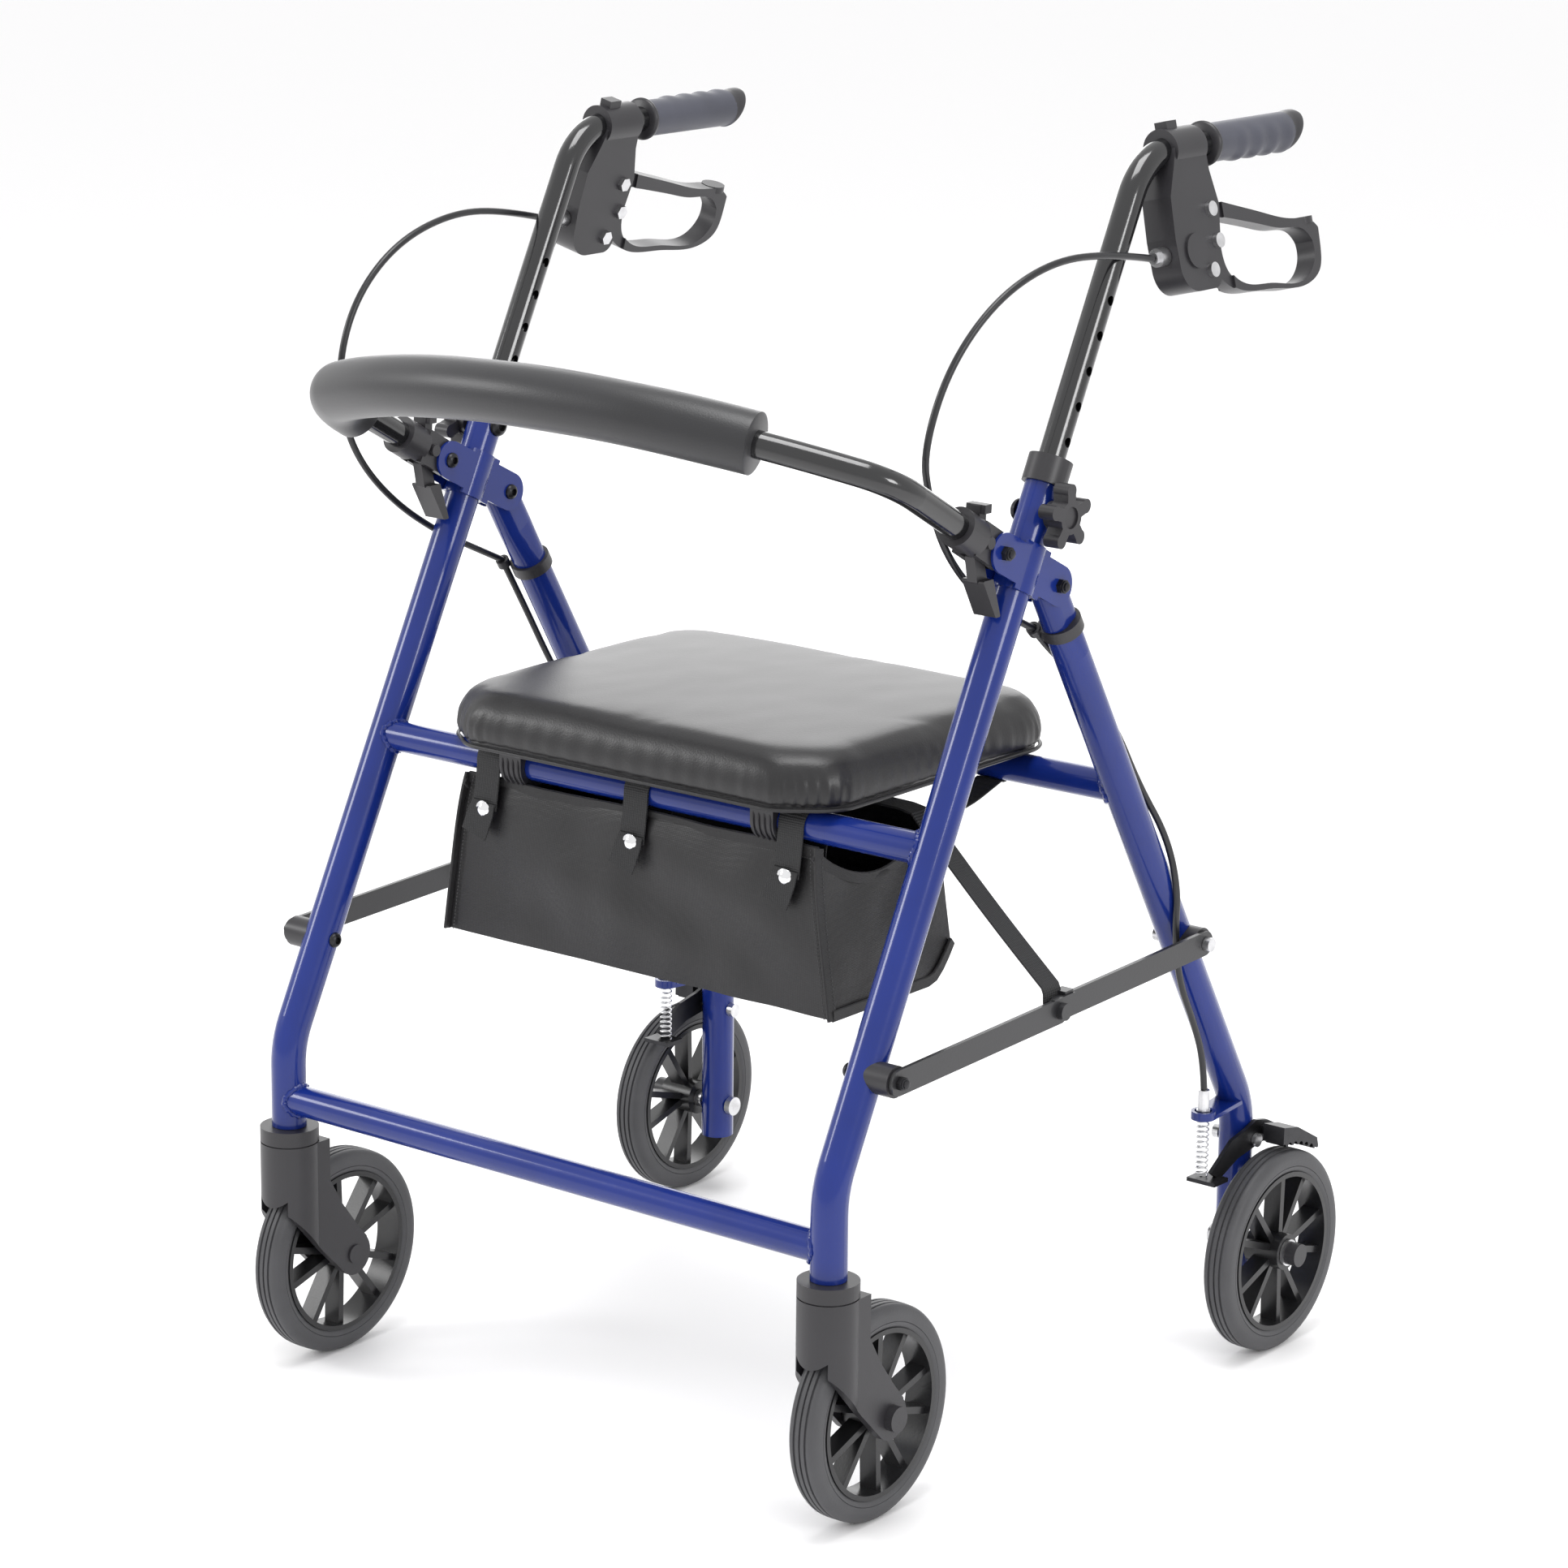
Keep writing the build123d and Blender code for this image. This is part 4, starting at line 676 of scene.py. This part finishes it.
# ---------------------------------------------------------------- seat
# A black board with a foam pad under stretched black vinyl. The vinyl is pulled round the
# board's edge, so it crowns in the middle and gathers at the corners.
seat_half, seat_front, seat_rear, seat_low = 0.178, -0.200, 0.092, 0.471
seat_mid = (seat_front + seat_rear) / 2
seat_cut_x, seat_cut_y = 0.038, 0.030
front_bend, rear_bend = 0.032, 0.042


def seat_outline(inset, points=12):
    """The seat's outline drawn in by inset: cut front corners, each with two rounded bends, and
    rounded rear corners."""
    half, front, rear = seat_half - inset, seat_front + inset, seat_rear - inset
    cut_x, cut_y = seat_cut_x - 0.4 * inset, seat_cut_y - 0.4 * inset
    bends = [
        ((half, rear), rear_bend - inset), ((-half, rear), rear_bend - inset),
        ((-half, front + cut_y), front_bend), ((-half + cut_x, front), front_bend),
        ((half - cut_x, front), front_bend), ((half, front + cut_y), front_bend),
    ]
    outline = []
    for k, (place, r) in enumerate(bends):
        here = Vector(place)
        before = (Vector(bends[k - 1][0]) - here).normalized()
        after = (Vector(bends[(k + 1) % len(bends)][0]) - here).normalized()
        half_angle = before.angle(after) / 2
        centre = here + (before + after).normalized() * r / sin(half_angle)
        start = here + before * r / tan(half_angle) - centre
        sweep_angle = pi - 2 * half_angle
        for j in range(points + 1):
            turn = sweep_angle * j / points
            outline.append((
                centre.x + start.x * cos(turn) - start.y * sin(turn),
                centre.y + start.x * sin(turn) + start.y * cos(turn),
            ))
    return outline


def seat_block():
    """The closed form that swells into the cushion."""
    levels = [(0.009, 0.0), (0.003, 0.0008), (0.0014, 0.005), (0.0008, 0.012), (0.0022, 0.020),
              (0.006, 0.0275), (0.012, 0.0325), (0.020, 0.035)]
    loops = [[Vector((x, y, seat_low + z)) for x, y in seat_outline(inset)] for inset, z in levels]
    count = len(loops[0])
    corners = [c for loop in loops for c in loop]
    faces = []
    for k in range(len(loops) - 1):
        for j in range(count):
            n = (j + 1) % count
            faces.append((k * count + j, k * count + n, (k + 1) * count + n, (k + 1) * count + j))
    faces += [tuple(range(count)), tuple(range((len(loops) - 1) * count, len(loops) * count))]
    return corners, faces


vinyl = surface("black_vinyl", (0.010, 0.0095, 0.0105), 0.36, grain=(0.0013, 0.00025), mottle=(0.09, 0.06))
cushion = mesh_piece("vinyl_cushion", *seat_block(), vinyl, "vinyl")
bpy.context.view_layer.objects.active = cushion
remesh = cushion.modifiers.new("remesh", "REMESH")
remesh.mode = "VOXEL"
remesh.voxel_size = 0.005
bpy.ops.object.modifier_apply(modifier="remesh")
swell_limit = 0.002
start_shape = [v.co.copy() for v in cushion.data.vertices]
cloth = cushion.modifiers.new("cloth", "CLOTH")
cloth.settings.use_pressure = True
cloth.settings.uniform_pressure_force = 4
cloth.settings.effector_weights.gravity = 0
for step in range(1, 21):
    bpy.context.scene.frame_set(step)
settled = cushion.evaluated_get(bpy.context.evaluated_depsgraph_get()).data
swollen = [v.co.copy() for v in settled.vertices]
cushion.modifiers.remove(cloth)
bpy.context.scene.frame_set(1)
for vertex, before, after in zip(cushion.data.vertices, start_shape, swollen):
    move = after - before
    if move.length > swell_limit:
        move = move * (swell_limit / move.length)
    vertex.co = before + move
fine = cushion.modifiers.new("fine", "SUBSURF")
fine.levels = fine.render_levels = 1
bpy.ops.object.modifier_apply(modifier="fine")
crown = 0.006
bend_places = [
    Vector((x * (seat_half - 0.5 * seat_cut_x), seat_front + 0.5 * seat_cut_y, 0)) for x in (-1, 1)
] + [Vector((x * (seat_half - 0.012), seat_rear - 0.012, 0)) for x in (-1, 1)]
for vertex in cushion.data.vertices:
    x, y, z = vertex.co
    across_x = x / seat_half
    across_y = (y - seat_mid) / ((seat_rear - seat_front) / 2)
    lift = max(0.0, 1 - across_x**2) * max(0.0, 1 - across_y**2)
    high = min(1.0, max(0.0, (z - seat_low - 0.012) / 0.020))
    z += crown * sqrt(lift) * high
    flat = Vector((x, y, 0))
    near = max(exp(-((flat - place).length / 0.040) ** 2) for place in bend_places)
    turn = atan2((y - seat_mid) * seat_half / ((seat_rear - seat_front) / 2), x)
    gather = sin(turn * 150 + 4 * noise.noise(flat * 26)) * (0.6 + 0.4 * noise.noise(Vector((x, y, 7)) * 60))
    side_share = max(0.0, 1 - abs(z - seat_low - 0.010) / 0.019)
    out = Vector((x, (y - seat_mid) * 1.25, 0)).normalized()
    pull = 0.0017 * gather * near * side_share
    pull += 0.0003 * sin(turn * 70 + 5 * noise.noise(flat * 9)) * side_share
    z += 0.0003 * noise.noise(Vector((x * 14, y * 14, 0.5))) * high
    z += 0.0002 * noise.noise(Vector((x * 45, y * 30, 2.5))) * high
    z = max(z, seat_low - 0.0005)
    vertex.co = (x + out.x * pull, y + out.y * pull, z)
cushion.data.shade_smooth()
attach(cushion, "seat")
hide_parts("seat_cushion")


def strip_outline(width, thick):
    """A flat strip with rounded edges, width along a and thick along b."""
    w, t = width / 2, thick / 2
    return [(-w, -t * 0.4), (-w + t * 0.5, -t), (w - t * 0.5, -t), (w, -t * 0.4),
            (w, t * 0.4), (w - t * 0.5, t), (-w + t * 0.5, t), (-w, t * 0.4)]


hem_path = [Vector((x, y, seat_low + 0.0006)) for x, y in seat_outline(0.0032)]
hem_path.append(hem_path[0])
hem = mesh_piece("seat_hem", *sweep_loops(hem_path, ring_outline(0.0015, 10)), vinyl, "vinyl")
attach(hem, "seat")
board_plastic = surface(
    "board_plastic", (0.02, 0.02, 0.021), 0.5, grain=(0.0012, 0.00015), mottle=(0.05, 0.15)
)
dress("seat_board", board_plastic, 0.0015)
dress("seat_saddles", black_plastic, 0.0008)
ribs = []
for x in (-0.114, 0.114):
    for k in range(4):
        middle = seat_tube + Vector((x - 0.0072 + 0.0048 * k, 0, 0))
        arc = [middle + Vector((0, 0.0158 * cos(a), 0.0158 * sin(a)))
               for a in [radians(-205 + 230 * j / 30) for j in range(31)]]
        ribs.append(sweep_loops(arc, ring_outline(0.0011, 8)))
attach(mesh_piece("saddle_ribs", *joined(ribs), black_plastic, "black_plastic"), "seat")

# ---------------------------------------------------------------- pouch
# A black coated-cloth bag hung under the seat: front, bottom and back in one cloth, two
# side pieces bound into it, and webbing straps snapped round the seat tubes.
pouch_cloth = surface(
    "pouch_cloth", (0.006, 0.0055, 0.0065), 0.40, sheen=0.04, grain=(0.004, 0.0004), mottle=(0.07, 0.15),
    threads=(0.0011, 0.00008),
)
binding = surface(
    "pouch_binding", (0.010, 0.0095, 0.0105), 0.6, sheen=0.08, grain=(0.0012, 0.0002), mottle=(0.02, 0.2),
    threads=(0.0009, 0.0001),
)
pouch_low, pouch_high = 0.326, 0.4435
pouch_front, pouch_rear = -0.1755, -0.036


def pouch_half(z):
    """Half the bag's width at height z; it narrows towards the top."""
    return 0.175 + (0.158 - 0.175) * (z - pouch_low) / (pouch_high - pouch_low)


def crease(p, size, depth):
    """How far a soft crease of the given size lifts the cloth at point p."""
    return depth * noise.noise(p * (1 / size))


def side_top(w):
    """Height of a side's top edge at w from front to rear."""
    return pouch_high - 0.027 * sin(pi * min(1.0, w * 1.08)) ** 0.8 - 0.002


def side_low(w):
    """Height of a side's bottom edge: it rises towards the rear corner."""
    return pouch_low + 0.022 * max(0.0, (w - 0.80) / 0.20) ** 1.4


def pouch_front_point(u, v):
    """Front cloth: u from -1 to 1 across, v from 0 at the bottom to 1 at the top."""
    z = pouch_low + (pouch_high - pouch_low) * v
    sag = 0.0015 * v**3 * (0.5 - 0.5 * cos(2 * pi * u / 0.86)) * (1 if abs(u) < 0.86 else 0.5)
    z -= sag
    x = u * pouch_half(z)
    belly = 0.004 * (1 - u * u) * sin(pi * v) - 0.005 * v**6
    fold = 0.0022 * sin(pi * (1.7 * u + 2.3 * v)) * sin(pi * v) + crease(Vector((x, 0.2, z)), 0.035, 0.0022)
    return Vector((x, pouch_front - belly - fold * (1 - abs(u) ** 8), z))


def pouch_shell():
    """All the bag's cloth as a grid that runs round its four sides, and a bottom."""
    wide, deep, tall = 44, 18, 22
    corners, faces = [], []
    ring = []
    for k in range(wide + 1):
        ring.append(("front", -1 + 2 * k / wide))
    for k in range(1, deep):
        ring.append(("right", k / deep))
    for k in range(wide + 1):
        ring.append(("back", 1 - 2 * k / wide))
    for k in range(1, deep):
        ring.append(("left", 1 - k / deep))
    for level in range(tall + 1):
        v = level / tall
        for part, s in ring:
            if part == "front":
                p = pouch_front_point(s, v)
            elif part == "back":
                z = side_low(1.0) + (pouch_high - side_low(1.0)) * v
                x = s * pouch_half(z)
                y = pouch_rear + 0.0015 * sin(5 * s) * v + crease(Vector((x, 0.5, z)), 0.05, 0.002)
                p = Vector((x, y, z))
            else:
                side = 1 if part == "right" else -1
                z = side_low(s) + (side_top(s) - side_low(s)) * v
                y = pouch_front + (pouch_rear - pouch_front) * s
                x = side * (pouch_half(z) + 0.003 * sin(pi * s) * sin(pi * v)
                            + crease(Vector((side * 3, y, z)), 0.03, 0.003) * sin(pi * s))
                p = Vector((x, y, z))
            corners.append(p)
    count = len(ring)
    for level in range(tall):
        for j in range(count):
            n = (j + 1) % count
            here, above = level * count, (level + 1) * count
            faces.append((here + j, here + n, above + n, above + j))
    start = len(corners)
    for row in range(deep + 1):
        w = row / deep
        for k in range(wide + 1):
            u = -1 + 2 * k / wide
            p = corners[k].lerp(corners[wide + deep + (wide - k)], w)
            corners.append(Vector((p.x, p.y, side_low(w) - 0.0025 * (1 - u * u) * sin(pi * w))))
    for row in range(deep):
        for k in range(wide):
            a = start + row * (wide + 1) + k
            faces.append((a, a + wide + 1, a + wide + 2, a + 1))
    return corners, faces


bag = mesh_piece("pouch_bag", *pouch_shell(), pouch_cloth, "pouch_cloth", sharp=60)
bpy.context.view_layer.objects.active = bag
weld_edges = bmesh.new()
weld_edges.from_mesh(bag.data)
bmesh.ops.remove_doubles(weld_edges, verts=weld_edges.verts, dist=0.0012)
weld_edges.to_mesh(bag.data)
weld_edges.free()
thick = bag.modifiers.new("cloth_thickness", "SOLIDIFY")
thick.thickness = 0.0014
thick.offset = -1
bpy.ops.object.modifier_apply(modifier="cloth_thickness")
bag.data.shade_smooth()
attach(bag, "front_frame")
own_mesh(bag)
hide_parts("pouch")


def pouch_corner_line(side):
    """A line up the bag's front corner on one side, as points."""
    return [pouch_front_point(side, k / 22) + Vector((side * 0.0006, -0.0004, 0)) for k in range(23)]


bound_edges = []
for side in (1, -1):
    corner_line = pouch_corner_line(side)
    bound_edges.append(sweep_loops(corner_line, strip_outline(0.009, 0.0022), side=(0, 1, 0)))
    low_edge, top_edge = [], []
    for k in range(19):
        w = k / 18
        y = pouch_front + (pouch_rear - pouch_front) * w
        low, top = side_low(w), side_top(w)
        low_edge.append(Vector((side * (pouch_half(low) + 0.0008), y, low + 0.003)))
        top_edge.append(Vector((side * (pouch_half(top) + 0.0002), y, top - 0.002)))
    bound_edges.append(sweep_loops(low_edge, strip_outline(0.008, 0.0022), side=(0, 0, 1)))
    bound_edges.append(sweep_loops(top_edge, strip_outline(0.008, 0.0024), side=(0, 0, 1)))
front_hem = [pouch_front_point(-1 + 2 * k / 60, 1.0) + Vector((0, -0.0003, -0.004)) for k in range(61)]
bound_edges.append(sweep_loops(front_hem, strip_outline(0.010, 0.0026), side=(0, 0, 1)))
hems = mesh_piece("pouch_binding", *joined(bound_edges), binding, "pouch_cloth")
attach(hems, "front_frame")
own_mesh(hems)

thread = surface("stitch_thread", (0.05, 0.05, 0.052), 0.6, grain=(0.0005, 0.0001), mottle=(0.01, 0.2))
thread_radius = 0.00035
hem_line = Vector((0, -0.0017, -0.0078))
stitches = []
for side in (1, -1):
    line = pouch_corner_line(side)
    for k in range(44):
        below, above = line[k // 2], line[k // 2 + 1]
        a = below.lerp(above, 0.5 * (k % 2))
        b = below.lerp(above, 0.5 * (k % 2) + 0.24)
        for shift in (Vector((side * 0.0012, 0.0028, 0)), Vector((-side * 0.006, -0.0012, 0))):
            stitches.append(sweep_loops([a + shift, b + shift], ring_outline(thread_radius, 6)))
for k in range(150):
    u = -0.97 + 1.94 * k / 149
    a = pouch_front_point(u, 1.0) + hem_line
    b = pouch_front_point(min(0.98, u + 0.008), 1.0) + hem_line
    stitches.append(sweep_loops([a, b], ring_outline(thread_radius, 6)))
seam = mesh_piece("pouch_stitches", *joined(stitches), thread, "pouch_cloth")
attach(seam, "front_frame")
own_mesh(seam)

webbing = surface(
    "black_webbing", (0.010, 0.010, 0.011), 0.65, sheen=0.08, grain=(0.0012, 0.00025), mottle=(0.02, 0.2),
    threads=(0.0016, 0.0003),
)
strap_outline = strip_outline(0.022, 0.0015)
strap_places = (-0.137, 0.0, 0.137)
wrap = 0.0121
snap_z = 0.421
front_straps, snaps, rear_straps = [], [], []
for x in strap_places:
    path = []
    for k in range(9):
        path.append(seat_tube + Vector((x, wrap + 0.0005 * k, -0.030 + 0.0035 * k)))
    for k in range(1, 24):
        turn = pi * k / 24
        path.append(seat_tube + Vector((x, wrap * cos(turn), wrap * sin(turn))))
    for k in range(9):
        path.append(seat_tube + Vector((x, -wrap - 0.0048 * (k / 8) ** 1.3, -0.0345 * k / 8)))
    front_straps.append(sweep_loops(path, strap_outline, side=(1, 0, 0)))
    tail = []
    for k in range(12):
        share = k / 11
        tail.append(seat_tube + Vector((
            x - 0.006 * share**1.4, -wrap - 0.0054 - 0.0046 * share**0.6, -0.0290 - 0.0235 * share
        )))
    front_straps.append(sweep_loops(tail, strap_outline, side=(1, 0.12, 0.25)))
    snap_place = Vector((x, seat_tube.y - wrap - 0.0062, snap_z))
    snaps.append(lathe(snap_place, (0, -1, 0), [
        (0.0001, 0), (0.0066, 0), (0.0071, 0.0004), (0.0069, 0.0011), (0.0058, 0.0017), (0.0042, 0.0020),
        (0.0038, 0.0024), (0.0026, 0.0030), (0.0001, 0.0032)
    ], 40))
for x in (strap_places[0], strap_places[-1]):
    path = [Vector((x, -0.034, 0.424)), Vector((x, -0.0338, 0.431)), Vector((x, -0.031, 0.4352))]
    for k in range(1, 9):
        share = k / 9
        path.append(Vector((x, -0.031 + share * 0.080, 0.4352 + 0.0078 * share - 0.006 * sin(pi * share))))
    for k in range(25):
        turn = radians(-110 + 280 * k / 24)
        path.append(rear_tube + Vector((x, wrap * cos(turn), wrap * sin(turn))))
    rear_straps.append(sweep_loops(path, strap_outline, side=(1, 0, 0)))
straps = mesh_piece("pouch_straps_front", *joined(front_straps), webbing, "webbing")
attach(straps, "front_frame")
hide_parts("pouch_straps")
hangers = mesh_piece("pouch_straps_rear", *joined(rear_straps), webbing, "webbing")
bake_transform(hangers)
snap_caps = mesh_piece("pouch_snap_caps", *joined(snaps), chrome, "chrome_steel", sharp=50)
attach(snap_caps, "front_frame")
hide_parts("pouch_snaps")

# ---------------------------------------------------------------- fold strap
# One webbing strap runs under the seat from brace to brace. Lifting it breaks both
# braces upwards, so the walker folds.
brace_mid = Vector((0, -0.0494, 0.32355))
for side, hand in ((1, "left"), (-1, "right")):
    path = [Vector((0, brace_mid.y, 0.4472)), Vector((side * 0.05, brace_mid.y, 0.4470)),
            Vector((side * 0.10, brace_mid.y, 0.4466)), Vector((side * 0.140, brace_mid.y, 0.4458))]
    top, bottom = Vector((side * 0.152, brace_mid.y, 0.4440)), Vector((side * 0.2665, brace_mid.y, 0.3400))
    for k in range(13):
        share = k / 12
        path.append(top.lerp(bottom, share) - Vector((0, 0, 0.002 * sin(pi * share))))
    path += [Vector((side * 0.2682, brace_mid.y, 0.3360)), Vector((side * 0.2684, brace_mid.y, 0.3290))]
    strap_mesh = sweep_loops(path, strip_outline(0.020, 0.0016), side=(0, 1, 0))
    half = mesh_piece(f"fold_strap_{hand}", *strap_mesh, webbing, "webbing")
    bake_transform(half)
    if side > 0:
        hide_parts("fold_strap")

# ---------------------------------------------------------------- sizes
# The box round the CAD pieces, taken just after they were loaded, which is the walker's real size.
low, high = cad_box
